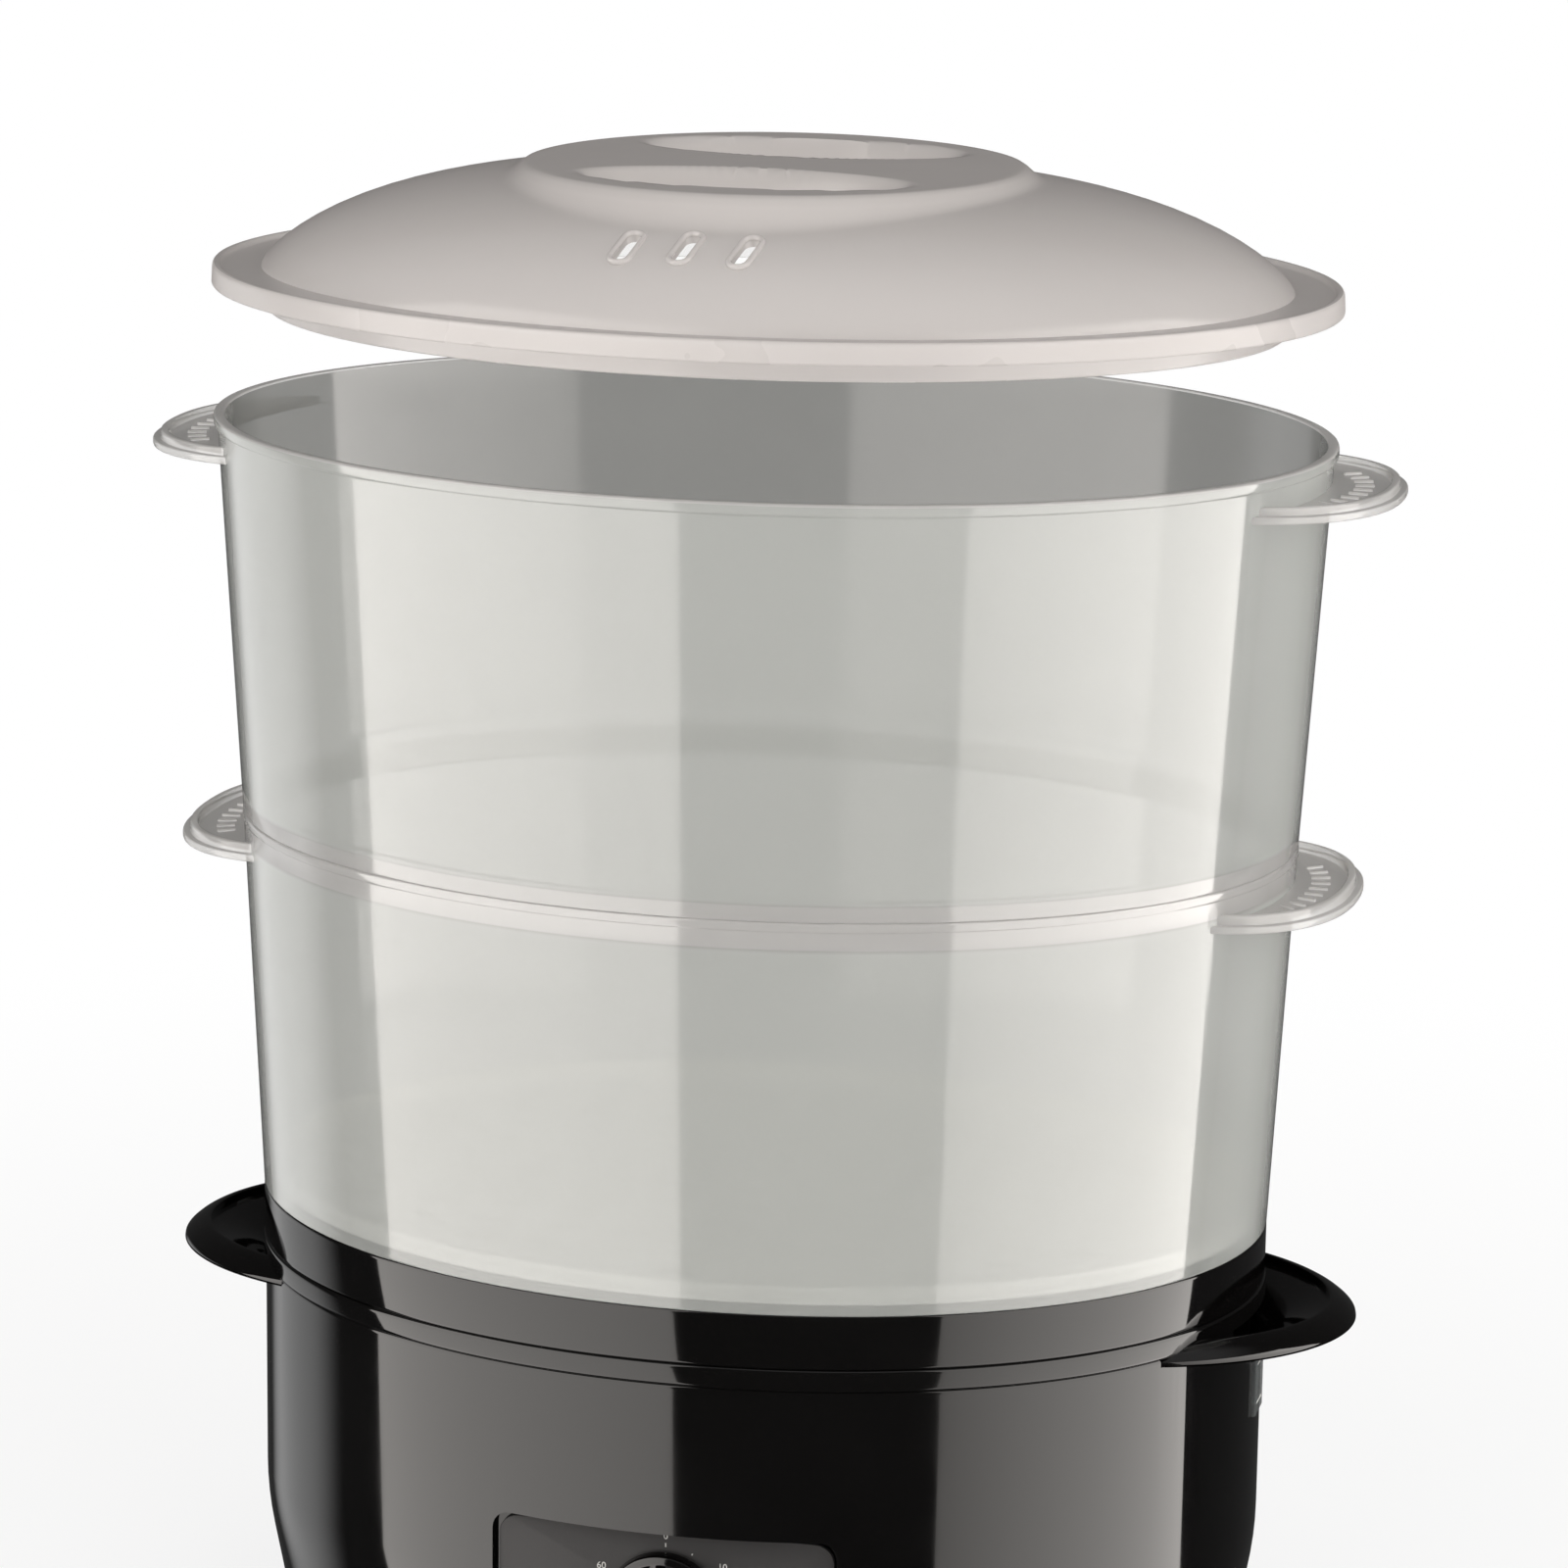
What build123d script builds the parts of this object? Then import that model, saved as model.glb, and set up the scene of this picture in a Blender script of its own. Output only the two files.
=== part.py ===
from build123d import *
import os
from math import copysign, cos, pi, radians, sin

# Oval two-tier electric food steamer, millimetres.
# Frame: +Z up, origin on the table under the middle of the base, X along the long axis,
# the front with its timer knob faces -Y.

# ---- shells and tiers ----
ASPECT = 0.77             # short over long half-axis of every oval
BODY_HALF = 139.2         # half length of the lower casing
BODY_DRAW = 5.2           # how far the casing draws in at its lower edge
RING_OUT = 0.7            # housing's ring outside the casing
COLLAR_SETBACK = 0.4      # collector's collar inside the ring
LOWER_BOWL_FLARE = 5.2    # each bowl widens by this from foot to rim
UPPER_BOWL_FLARE = 6.4
RIM_BEAD_OUT = 0.9        # rim bead outside the upper bowl's wall

FOOT_HEIGHT = 4.0
BODY_HEIGHT = 95.4
BODY_TAPER_HEIGHT = 26.0  # lower stretch of the casing that draws in
RING_HEIGHT = 5.9
COLLAR_HEIGHT = 14.7
LOWER_BOWL_HEIGHT = 105.7
UPPER_BOWL_HEIGHT = 108.6

BOWL_WALL = 2.2
NEST_GAP = 0.8            # play of a bowl's foot in what it stands in
FOOT_DEPTH = 7.2          # how deep each bowl's foot reaches into the piece below
UPPER_LEDGE = 4.7         # tray ledge above the upper bowl's seat
LOWER_LEDGE = 2.4         # tray ledge above the lower bowl's seat
RIM_BEAD = 3.0
BAND_BEAD = 2.4
BAND_BEAD_OUT = 0.5       # how far the lower bowl's rim bead stands out

# ---- ears of the bowls ----
EAR_POWER = 2.3
EAR_POINTS = 12
EAR_HALF_Y = 47.2
UPPER_EAR_OUT = 18.2      # ear's tip beyond the rim
UPPER_EAR_HALF_X = 43.8
UPPER_EAR_DROP = 7.2      # rim down to the ear's lip
UPPER_EAR_HEIGHT = 4.1
LOWER_EAR_OUT = 17.5
LOWER_EAR_HALF_X = 35.8
LOWER_EAR_DROP = 6.4
LOWER_EAR_HEIGHT = 4.5
EAR_FLANGE = 2.0
EAR_STEP = 2.0
EAR_LIP = 2.2

# ---- lower tray ----
TRAY_PLATE = 2.0
TRAY_RIM = 4.5
TRAY_RIM_WALL = 1.8
TRAY_GAP = 1.0
TRAY_SLOT_LENGTH = 11.0
TRAY_SLOT_WIDTH = 2.4
TRAY_SLOT_PITCH_X = 20.0
TRAY_SLOT_PITCH_Y = 15.0
TRAY_SLOT_MARGIN = 14.0

# ---- lid ----
LID_LIFT = 35.0           # height at which the lid is held above its seat at rest
LID_OVERHANG = 0.3        # lid's edge beyond the rim bead
LID_WALL = 2.2
LID_FLANGE_HEIGHT = 5.8
LID_FLANGE_DISH = 1.2     # flange top lies this much below its outer lip
LID_SKIRT_INSET = 14.8    # skirt inside the lid's edge
LID_SKIRT_DEPTH = 6.0
DOME_INSET = 13.3         # dome's foot inside the lid's edge
DOME_HEIGHT = 28.0
DOME_POWER = 3.4
DOME_SHOULDER = 0.75
DOME_STEPS = (1.0, 0.985, 0.955, 0.91, 0.84, 0.74, 0.6, 0.4)
CROWN_FOOT = 76.0
CROWN_TOP = 67.0
CROWN_DEPTH = 12.0
CROWN_RISE = 1.0          # crown top above the dome's own height
POCKET_HALF_X = 44.0
POCKET_HALF_Y = 19.0
POCKET_OFFSET = 33.0
POCKET_DEPTH = 12.0
POCKET_DRAFT = 6.0
VENT_PITCH = 15.5
VENT_CENTRE_X = -2.3
VENT_SETBACK = 21.4       # vents behind the dome's foot
VENT_LENGTH = 10.5
VENT_WIDTH = 4.2
VENT_SLANT = -18.0
VENT_COUNT = 3

# ---- juice collector ----
COLLECTOR_WALL = 2.2
COLLECTOR_GAP = 0.4
COLLECTOR_SPIGOT = 5.0
COLLECTOR_FLOOR = 2.2
CHIMNEY_HALF_X = 46.0
CHIMNEY_HALF_Y = 33.0
CHIMNEY_HEIGHT = 9.0

# ---- housing with tank and fill scoops ----
RING_WALL = 2.5
TANK_WALL = 2.4
TANK_FLOOR = 2.5
TANK_LIFT = 59.0          # tank's underside above the casing's lower edge
TANK_GAP = 0.4
SCOOP_OUT = 25.4          # scoop's lip beyond the ring
SCOOP_HALF_X = 70.3
SCOOP_HALF_Y = 55.6
SCOOP_LIP_DROP = 3.1      # lip top below the ring's top
SCOOP_LIP_HEIGHT = 5.0
SCOOP_BEVEL = ((0.0, 0.0), (1.4, 0.5), (3.1, 2.5), (4.3, 4.5), (5.0, 6.4))  # rise and draw-in of the lip
SCOOP_WALL = 1.6
FLARE_WALL = 1.8
FLARE = ((0.0, 0.0), (1.2, 3.6), (2.8, 9.0), (5.0, 14.5), (8.5, 20.5), (13.5, 27.5))  # drop and draw-in
INLET_WIDTH = 30.0
INLET_HEIGHT = 4.0
INLET_BITE = 10.0         # how far the inlets reach in from the casing's face
COLUMN_INSET_X = 41.2     # screw columns inside the casing's outline
COLUMN_INSET_Y = 61.2
COLUMN_R = 5.0

# ---- lower casing ----
BODY_WALL = 2.5
BODY_LIP = 7.0            # inward lip at the lower edge
BODY_LIP_THICK = 2.5
PANEL_HALF_WIDTH = 47.0
PANEL_HEIGHT = 46.0
PANEL_LIFT = 31.0         # knob's axis above the casing's lower edge
PANEL_SETBACK = 9.2       # recess floor behind the casing's foremost line
FASCIA_THICK = 1.5
FASCIA_MARGIN = 1.5
FASCIA_CORNER = 5.0

# ---- bottom cover, feet, screws ----
COVER_THICK = 2.5
COVER_GAP = 0.5
FOOT_R = 9.0
FOOT_INSET_X = 55.2
FOOT_INSET_Y = 47.2
FOOT_STEM_R = 3.0
FOOT_STEM_TOP = 3.0
FOOT_CHAMFER = 1.0
SCREW_R = 1.5
SCREW_HEAD_R = 2.9
SCREW_HEAD = 1.8
SCREW_SLOT = 0.8
SCREW_BITE = 10.0
SCREW_PLAY = 0.05
SCREW_CLEAR = 0.5

# ---- heating element ----
PLATE_R = 48.0
PLATE_THICK = 1.5
PLATE_RIM = 8.0           # flat rim round the plate's raised middle
PLATE_BOSS_RISE = 2.5     # boss above the tank floor
PLATE_HOLE_PLAY = 1.0
PLATE_ROUND = 1.2
SEAL_THICK = 2.0
SEAL_WIDTH = 5.0
CLAMP_THICK = 2.0
CLAMP_BAND = 6.0
CLAMP_BOLT_OUT = 4.6      # screw axes outside the plate
CLAMP_EAR_R = 6.0
CLAMP_BOSS_R = 4.0
CLAMP_BOLTS = 3
TUBE_INSET = 9.0          # tube's axis inside the plate's raised middle
TUBE_R = 3.5
TUBE_SWEEP = 300.0
TUBE_GAP = 0.1
TERMINAL_R = 1.5
TERMINAL_CAP = 1.5        # half length of the cap on the tube end
TERMINAL_LENGTH = 9.0
THERMOSTAT_R = 8.0
THERMOSTAT_HEIGHT = 8.0
TAB_OFFSET = 4.0          # each connection tab beside the middle
TAB_LENGTH = 5.0
TAB_THICK = 0.8
TAB_WIDTH = 3.0
CLIP_HALF = 15.0
CLIP_WIDTH = 7.0
CLIP_THICK = 1.0
CLIP_POST_R = 1.6
FUSE_R = 2.2
FUSE_LENGTH = 14.0
FUSE_LEAD = 4.0
FUSE_LEAD_R = 0.7
FUSE_Y = 18.0

# ---- steam ring ----
STEAM_RING_OUT = 8.0      # ring outside the plate
STEAM_RING_WALL = 2.0
STEAM_RING_HEADROOM = 7.8 # up to the collector's floor
STEAM_NOTCH_WIDTH = 10.0
STEAM_NOTCH_HEIGHT = 4.0

# ---- timer ----
CASE_R = 20.0
CASE_DEPTH = 22.0
CASE_WALL = 1.4
BACK_PLATE = 1.5
SHAFT_R = 3.0
SHAFT_FLAT = 1.8          # flat's distance from the arbor's axis
PANEL_HOLE_PLAY = 1.5
BEARING_PLAY = 0.05
WHEEL_TEETH = 48
PINION_TEETH = 12
GEAR_MODULE = 0.4
GEAR_WIDTH = 2.0
GEAR_PLAY = 0.08
TOOTH_TIP = 0.85          # tooth heights, in modules
TOOTH_ROOT = 1.2
TIP_SHARE = 0.11          # half widths of a tooth, in shares of the pitch
ROOT_SHARE = 0.36
WHEEL_SETBACK = 10.0      # main wheel behind the case front
ARBOR_R = 1.0
ESCAPE_MODULE = 0.42
ESCAPE_SETBACK = 2.0
ESCAPE_TEETH = 15
SPRING_STRIP = 0.5
SPRING_WIDTH = 6.0
SPRING_TURNS = 4
SPRING_PITCH = 1.4
SPRING_SETBACK = 1.5
SPRING_GAP = 1.0          # inner turn outside the arbor
SPRING_SAMPLES = 12
BELL_R = 13.0
BELL_OFFSET = 6.5         # gong's post beside the arbor
BELL_GAP = 4.0            # gong's mouth behind the back plate
BELL_DEPTH = 6.0
BELL_WALL = 1.0
BELL_ROUND = 2.5
BELL_HUB_WALL = 1.0
BELL_POST_R = 2.0
HAMMER_PIN_R = 1.0
HAMMER_REACH = 9.0
HAMMER_THICK = 1.5
HAMMER_WIDTH = 2.4
HAMMER_EYE_R = 2.5
HAMMER_HEAD_R = 2.0
HAMMER_HEAD = 2.0         # head's length behind the arm
HAMMER_PIN_END = 1.0      # pin's length behind the arm
HAMMER_GAP = 1.0          # striker's arm behind the back plate
HAMMER_ASIDE = 3.5        # its pin beside the gong
SWITCH_WIDTH = 12.0
SWITCH_DEPTH = 8.0
SWITCH_HEIGHT = 8.0
SWITCH_GAP = 0.8
SWITCH_GROOVE_SETBACK = 3.0
SWITCH_GROOVE = 1.0
SWITCH_WAY = 3.0          # each wire beside the switch's middle
TIMER_SCREW_X = 14.0
KNOB_R = 16.0
KNOB_DEPTH = 15.0
KNOB_GAP = 0.5
KNOB_SKIRT = 4.0
KNOB_GRIP_R = 12.5
KNOB_FLUTES = 18
KNOB_FLUTE_R = 1.4
KNOB_FLUTE_OUT = 0.4      # flute centres outside the grip's face
KNOB_CAP = 4.0            # knob's front wall

# ---- small fittings ----
LENS_X = 35.0
LENS_R = 3.5
LENS_FLANGE = 1.2
LENS_PLAY = 0.1
LENS_RIM = 0.8
LENS_TAIL = 2.0           # lens behind the panel's wall
LAMP_R = 2.5
LAMP_LENGTH = 12.0
WINDOW_WIDTH = 12.0
WINDOW_HEIGHT = 18.0
WINDOW_LIFT = 4.0         # window's lower edge above the tank underside
WINDOW_PLAY = 0.15
WINDOW_PROUD = 0.8
GLAND_LIFT = 20.0         # cord bush above the casing's lower edge
GLAND_R = 7.0
GLAND_FLANGE_R = 9.5
GLAND_FLANGE = 2.0
GLAND_BORE_R = 3.8
GLAND_INNER = 8.0
GLAND_STAND_OFF = 0.6     # flange in front of the casing's face on its middle line
BLOCK_WIDTH = 30.0        # three-way terminal block
BLOCK_DEPTH = 18.0
BLOCK_HEIGHT = 14.0
BLOCK_INSET = 47.2        # its front face inside the casing's outline
BLOCK_SCREW_R = 2.2
BLOCK_SCREW_FLOOR = 4.0
WIRE_R = 1.2
WIRE_BEND = 2.5
WIRE_WIDE_BEND = 4.0
WIRE_LEAD = 12.0          # straight run out of a terminal
WIRE_DROP_RUN = 34.0      # live wire down at the bottom cover, from the block
WIRE_RISE_RUN = 20.0      # live wire up again, from the switch
WIRE_RUN = 30.0           # neutral wire level, from the block
PIN_APPROACH = 6.0        # wires beside and below a pin where they turn up
SWITCH_LEAD = 10.0
SWITCH_RISE = 4.0
EARTH_DROP = 8.0          # earth wire below its tag where it turns up
TAG_LENGTH = 12.0         # earth tag
TAG_WIDTH = 7.0
TAG_THICK = 0.8
TAG_HEEL = 2.0            # tag past the screw's axis
FIT = 0.02                # between pieces fixed to one another

# ---- half lengths of the ovals, from the casing up ----
BODY_FOOT_HALF = BODY_HALF - BODY_DRAW
BODY_HALF_Y = BODY_HALF * ASPECT
RING_HALF = BODY_HALF + RING_OUT
COLLAR_HALF = RING_HALF - COLLAR_SETBACK
BAND_HALF = COLLAR_HALF + LOWER_BOWL_FLARE
UPPER_TOP_HALF = BAND_HALF + UPPER_BOWL_FLARE
RIM_HALF = UPPER_TOP_HALF + RIM_BEAD_OUT
LID_HALF = RIM_HALF + LID_OVERHANG
LID_SKIRT_HALF = LID_HALF - LID_SKIRT_INSET
DOME_HALF_X = LID_HALF - DOME_INSET
DOME_HALF_Y = LID_HALF * ASPECT - DOME_INSET
UPPER_EAR_REACH = RIM_HALF + UPPER_EAR_OUT
LOWER_EAR_REACH = BAND_HALF + LOWER_EAR_OUT
SCOOP_REACH = RING_HALF + SCOOP_OUT

# ---- places in plan ----
VENT_CENTRE_Y = VENT_SETBACK - DOME_HALF_Y
COLUMN_X = BODY_HALF - COLUMN_INSET_X
COLUMN_Y = BODY_HALF_Y - COLUMN_INSET_Y
FOOT_X = BODY_HALF - FOOT_INSET_X
FOOT_Y = BODY_HALF_Y - FOOT_INSET_Y
BLOCK_Y = BODY_HALF_Y - BLOCK_INSET
PANEL_Y = PANEL_SETBACK - BODY_HALF_Y

# ---- radii round the heating plate ----
PLATE_BOSS_R = PLATE_R - PLATE_RIM
TUBE_RING_R = PLATE_BOSS_R - TUBE_INSET
CLAMP_BOLT_R = PLATE_R + CLAMP_BOLT_OUT
STEAM_RING_R = PLATE_R + STEAM_RING_OUT

# ---- heights of the stack ----
Z_BODY = FOOT_HEIGHT
Z_RING = Z_BODY + BODY_HEIGHT
Z_COLLAR = Z_RING + RING_HEIGHT
Z_LOWER = Z_COLLAR + COLLAR_HEIGHT
Z_UPPER = Z_LOWER + LOWER_BOWL_HEIGHT
Z_RIM = Z_UPPER + UPPER_BOWL_HEIGHT
Z_LID = Z_RIM + LID_LIFT
Z_TANK = Z_BODY + TANK_LIFT
Z_TANK_TOP = Z_TANK + TANK_FLOOR
Z_LIP = Z_COLLAR - SCOOP_LIP_DROP
Z_LIP_FOOT = Z_LIP - SCOOP_LIP_HEIGHT
Z_COVER = Z_BODY
Z_COLUMN = Z_COVER + COVER_THICK + BODY_LIP_THICK
PANEL_Z = Z_BODY + PANEL_LIFT
GLAND_Z = Z_BODY + GLAND_LIFT
STEAM_RING_HEIGHT = Z_COLLAR - COLLECTOR_SPIGOT - Z_TANK_TOP - STEAM_RING_HEADROOM
Z_PLATE = Z_TANK - SEAL_THICK - PLATE_THICK
Z_PLATE_UNDER = Z_PLATE + TANK_FLOOR + SEAL_THICK + PLATE_BOSS_RISE
Z_TUBE = Z_PLATE_UNDER - TUBE_R - TUBE_GAP
TUBE_START = 270 + (360 - TUBE_SWEEP) / 2

# ---- places along Y in the timer ----
Y_CASE = PANEL_Y + BODY_WALL
Y_BACK = Y_CASE + CASE_DEPTH
Y_WHEEL = Y_CASE + CASE_WALL + WHEEL_SETBACK
Y_ESCAPE = Y_WHEEL + GEAR_WIDTH + ESCAPE_SETBACK
WHEEL_R = GEAR_MODULE * WHEEL_TEETH / 2
PINION_R = GEAR_MODULE * PINION_TEETH / 2
PINION_Z = PANEL_Z + WHEEL_R + PINION_R
Y_BELL = Y_BACK + BACK_PLATE + BELL_GAP
Y_HAMMER = Y_BACK + BACK_PLATE + HAMMER_GAP
HAMMER_X = BELL_R - BELL_OFFSET + HAMMER_ASIDE
Z_SWITCH = PANEL_Z - BELL_R - SWITCH_GAP

OVER = 1.0                # how far a cut runs past the face that it opens


def oval(half_length, z, inset=0.0):
    """Oval outline at height z, drawn in by inset all round."""
    return Pos(0, 0, z) * Ellipse(half_length - inset, half_length * ASPECT - inset)


def oval_loft(*rings):
    """Solid through ovals, each given as (half length, z, inset)."""
    return loft([oval(*ring) for ring in rings], ruled=True)


def oval_disc(half_length, z_low, z_high, inset=0.0):
    return extrude(oval(half_length, z_low, inset), z_high - z_low)


def rod(radius, x, y, z_low, z_high):
    """Upright round bar."""
    return Pos(x, y, z_low) * extrude(Circle(radius), z_high - z_low)


def bar_y(radius, x, z, y_front, y_back):
    """Round bar along Y, from its front end to its back end."""
    return Pos(x, y_back, z) * Rot(90, 0, 0) * extrude(Circle(radius), y_back - y_front)


def block(x_range, y_range, z_range):
    size = [high - low for low, high in (x_range, y_range, z_range)]
    middle = [(high + low) / 2 for low, high in (x_range, y_range, z_range)]
    return Pos(*middle) * Box(*size)


def both_ends(shape):
    """The shape and its mirror image at the other end of the long axis."""
    return shape + mirror(shape, about=Plane.YZ)


def solids_of(*shapes):
    """Separate solids kept together as one piece of stock."""
    return Compound(children=[solid for shape in shapes for solid in shape.solids()])


def pan_screw(x, y, z_head, length, radius):
    """Pan-head screw driven upwards, its head's lower face at z_head."""
    head = rod(SCREW_HEAD_R, x, y, z_head, z_head + SCREW_HEAD)
    shank = rod(radius, x, y, z_head + SCREW_HEAD, z_head + SCREW_HEAD + length)
    slot = Pos(x, y, z_head) * Box(SCREW_SLOT, 2 * SCREW_HEAD_R, SCREW_HEAD)
    cross = Pos(x, y, z_head) * Box(2 * SCREW_HEAD_R, SCREW_SLOT, SCREW_HEAD)
    return head + shank - slot - cross


def ear_outline(reach, half_x, half_y, z, draw_in=0.0):
    """Round-ended outline of an ear at the +X end, reaching out to reach."""
    long, short = half_x - draw_in, half_y - draw_in
    points = []
    for step in range(EAR_POINTS):
        angle = 2 * pi * step / EAR_POINTS
        across, along = cos(angle), sin(angle)
        points.append((
            reach - half_x + long * copysign(abs(across) ** (2 / EAR_POWER), across),
            short * copysign(abs(along) ** (2 / EAR_POWER), along),
        ))
    return Pos(0, 0, z) * make_face(Spline(*points, periodic=True))


def ear(reach, half_x, z_lip, height):
    """Carrying ear: a flange with a smaller stepped lip and a dished top."""
    z_low = z_lip - height
    flange = extrude(ear_outline(reach, half_x, EAR_HALF_Y, z_low), EAR_FLANGE)
    lip = extrude(ear_outline(reach, half_x, EAR_HALF_Y, z_low + EAR_FLANGE, EAR_STEP), height - EAR_FLANGE)
    dish = extrude(
        ear_outline(reach, half_x, EAR_HALF_Y, z_low + EAR_FLANGE, EAR_STEP + EAR_LIP), height
    )
    return flange + (lip - dish)


def bowl(z_seat, height, half_seat, half_top, bead, ledge, ears):
    """Bottomless bowl that stands on its seat, with a foot nested in the piece below."""
    z_top = z_seat + height

    def half_at(z):
        return half_seat + (half_top - half_seat) * (z - z_seat) / height

    half_bead, bead_height = bead
    shell = oval_loft((half_seat, z_seat), (half_top, z_top))
    shell += oval_disc(half_seat, z_seat - FOOT_DEPTH, z_seat, BOWL_WALL + NEST_GAP)
    shell += oval_disc(half_bead, z_top - bead_height, z_top)
    shell += both_ends(ear(*ears))
    z_ledge = z_seat + ledge
    shell -= oval_loft(
        (half_at(z_ledge), z_ledge, BOWL_WALL), (half_at(z_top + OVER), z_top + OVER, BOWL_WALL)
    )
    shell -= oval_disc(half_seat, z_seat - FOOT_DEPTH - OVER, z_ledge + OVER, 2 * BOWL_WALL + NEST_GAP)
    return shell


def make_upper_bowl():
    ears = (UPPER_EAR_REACH, UPPER_EAR_HALF_X, Z_RIM - UPPER_EAR_DROP, UPPER_EAR_HEIGHT)
    return bowl(
        Z_UPPER, UPPER_BOWL_HEIGHT, BAND_HALF, UPPER_TOP_HALF, (RIM_HALF, RIM_BEAD), UPPER_LEDGE, ears
    )


def make_lower_bowl():
    ears = (LOWER_EAR_REACH, LOWER_EAR_HALF_X, Z_UPPER - LOWER_EAR_DROP, LOWER_EAR_HEIGHT)
    bead = (BAND_HALF + BAND_BEAD_OUT, BAND_BEAD)
    return bowl(Z_LOWER, LOWER_BOWL_HEIGHT, COLLAR_HALF, BAND_HALF, bead, LOWER_LEDGE, ears)


def make_lower_tray():
    """Perforated tray on the lower bowl's ledge."""
    z_low = Z_LOWER + LOWER_LEDGE
    inset = BOWL_WALL + TRAY_GAP
    tray = oval_disc(COLLAR_HALF, z_low, z_low + TRAY_RIM, inset)
    tray -= oval_disc(COLLAR_HALF, z_low + TRAY_PLATE, z_low + TRAY_RIM + OVER, inset + TRAY_RIM_WALL)
    field_x = COLLAR_HALF - inset - TRAY_SLOT_MARGIN
    field_y = COLLAR_HALF * ASPECT - inset - TRAY_SLOT_MARGIN
    columns, rows = int(field_x / TRAY_SLOT_PITCH_X), int(field_y / TRAY_SLOT_PITCH_Y)
    places = [
        (i * TRAY_SLOT_PITCH_X, j * TRAY_SLOT_PITCH_Y)
        for i in range(-columns, columns + 1)
        for j in range(-rows, rows + 1)
        if (i * TRAY_SLOT_PITCH_X / field_x) ** 2 + (j * TRAY_SLOT_PITCH_Y / field_y) ** 2 < 1
    ]
    slots = Sketch() + [Pos(x, y) * SlotOverall(TRAY_SLOT_LENGTH, TRAY_SLOT_WIDTH) for x, y in places]
    return tray - extrude(Pos(0, 0, z_low - OVER) * slots, TRAY_PLATE + 2 * OVER)


def dome(z_foot, inset, height):
    """Boxy-shouldered dome through ovals that shrink as they rise."""
    rings = []
    for step in DOME_STEPS:
        rise = height * (1 - step ** DOME_POWER) ** DOME_SHOULDER
        ring = Ellipse((DOME_HALF_X - inset) * step, (DOME_HALF_Y - inset) * step)
        rings.append(Pos(0, 0, z_foot + rise) * ring)
    return loft(rings, ruled=True)


def crown(z_top, inset):
    """Flat round crown that carries the grip."""
    foot = Pos(0, 0, z_top - CROWN_DEPTH) * Circle(CROWN_FOOT - inset)
    return loft([foot, Pos(0, 0, z_top) * Circle(CROWN_TOP - inset)])


def grip_pockets(z_top, grow):
    """Finger pockets in front of and behind the grip bar."""
    pockets = []
    for side in (-1, 1):
        mouth = Ellipse(POCKET_HALF_X + grow, POCKET_HALF_Y + grow)
        floor = Ellipse(POCKET_HALF_X - POCKET_DRAFT + grow, POCKET_HALF_Y - POCKET_DRAFT + grow)
        z_floor = z_top - POCKET_DEPTH - grow
        pockets.append(loft([
            Pos(0, side * POCKET_OFFSET, z_floor) * floor,
            Pos(0, side * POCKET_OFFSET, z_top + OVER) * mouth,
        ]))
    return pockets


def make_lid():
    z_top = Z_LID + LID_FLANGE_HEIGHT
    z_plate = z_top - LID_FLANGE_DISH
    z_crown = z_top + DOME_HEIGHT + CROWN_RISE
    rim = oval_disc(LID_HALF, Z_LID, z_top)
    rim -= oval_disc(LID_HALF, z_plate, z_top + OVER, LID_WALL)
    rim -= oval_disc(LID_HALF, Z_LID - OVER, z_plate - LID_WALL, LID_WALL)
    skirt = oval_disc(LID_SKIRT_HALF, Z_LID - LID_SKIRT_DEPTH, z_plate)
    outside = rim + skirt + dome(z_plate, 0.0, DOME_HEIGHT + LID_FLANGE_DISH) + crown(z_crown, 0.0)
    inside = oval_disc(LID_SKIRT_HALF, Z_LID - LID_SKIRT_DEPTH - OVER, z_plate - LID_WALL, LID_WALL)
    inside += dome(z_plate - LID_WALL, LID_WALL, DOME_HEIGHT + LID_FLANGE_DISH)
    inside += crown(z_crown - LID_WALL, LID_WALL)
    for pocket in grip_pockets(z_crown, 0.0):
        outside -= pocket
    for pocket in grip_pockets(z_crown, LID_WALL):
        inside -= pocket
    lid = outside - inside
    for index in range(VENT_COUNT):
        x = VENT_CENTRE_X + VENT_PITCH * (index - (VENT_COUNT - 1) / 2)
        vent = Rot(0, 0, 90 + VENT_SLANT) * SlotOverall(VENT_LENGTH, VENT_WIDTH)
        lid -= extrude(Pos(x, VENT_CENTRE_Y, z_plate) * vent, DOME_HEIGHT)
    return lid


def make_juice_collector():
    """Drip tray with an outer collar and a central chimney for the steam."""
    z_floor = Z_COLLAR - COLLECTOR_SPIGOT
    spigot_inset = RING_WALL + COLLECTOR_GAP
    tray = oval_disc(COLLAR_HALF, Z_COLLAR, Z_LOWER)
    tray += oval_disc(RING_HALF, z_floor, Z_COLLAR, spigot_inset)
    tray -= oval_disc(COLLAR_HALF, Z_COLLAR + COLLECTOR_FLOOR, Z_LOWER + OVER, COLLECTOR_WALL)
    z_web = Z_COLLAR + COLLECTOR_FLOOR + OVER
    tray -= oval_disc(RING_HALF, z_floor + COLLECTOR_FLOOR, z_web, spigot_inset + COLLECTOR_WALL)
    chimney = Pos(0, 0, z_floor) * Ellipse(CHIMNEY_HALF_X, CHIMNEY_HALF_Y)
    bore = Pos(0, 0, z_floor - OVER) * Ellipse(
        CHIMNEY_HALF_X - COLLECTOR_WALL, CHIMNEY_HALF_Y - COLLECTOR_WALL
    )
    height = COLLECTOR_FLOOR + CHIMNEY_HEIGHT
    return tray + extrude(chimney, height) - extrude(bore, height + 2 * OVER)


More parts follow.
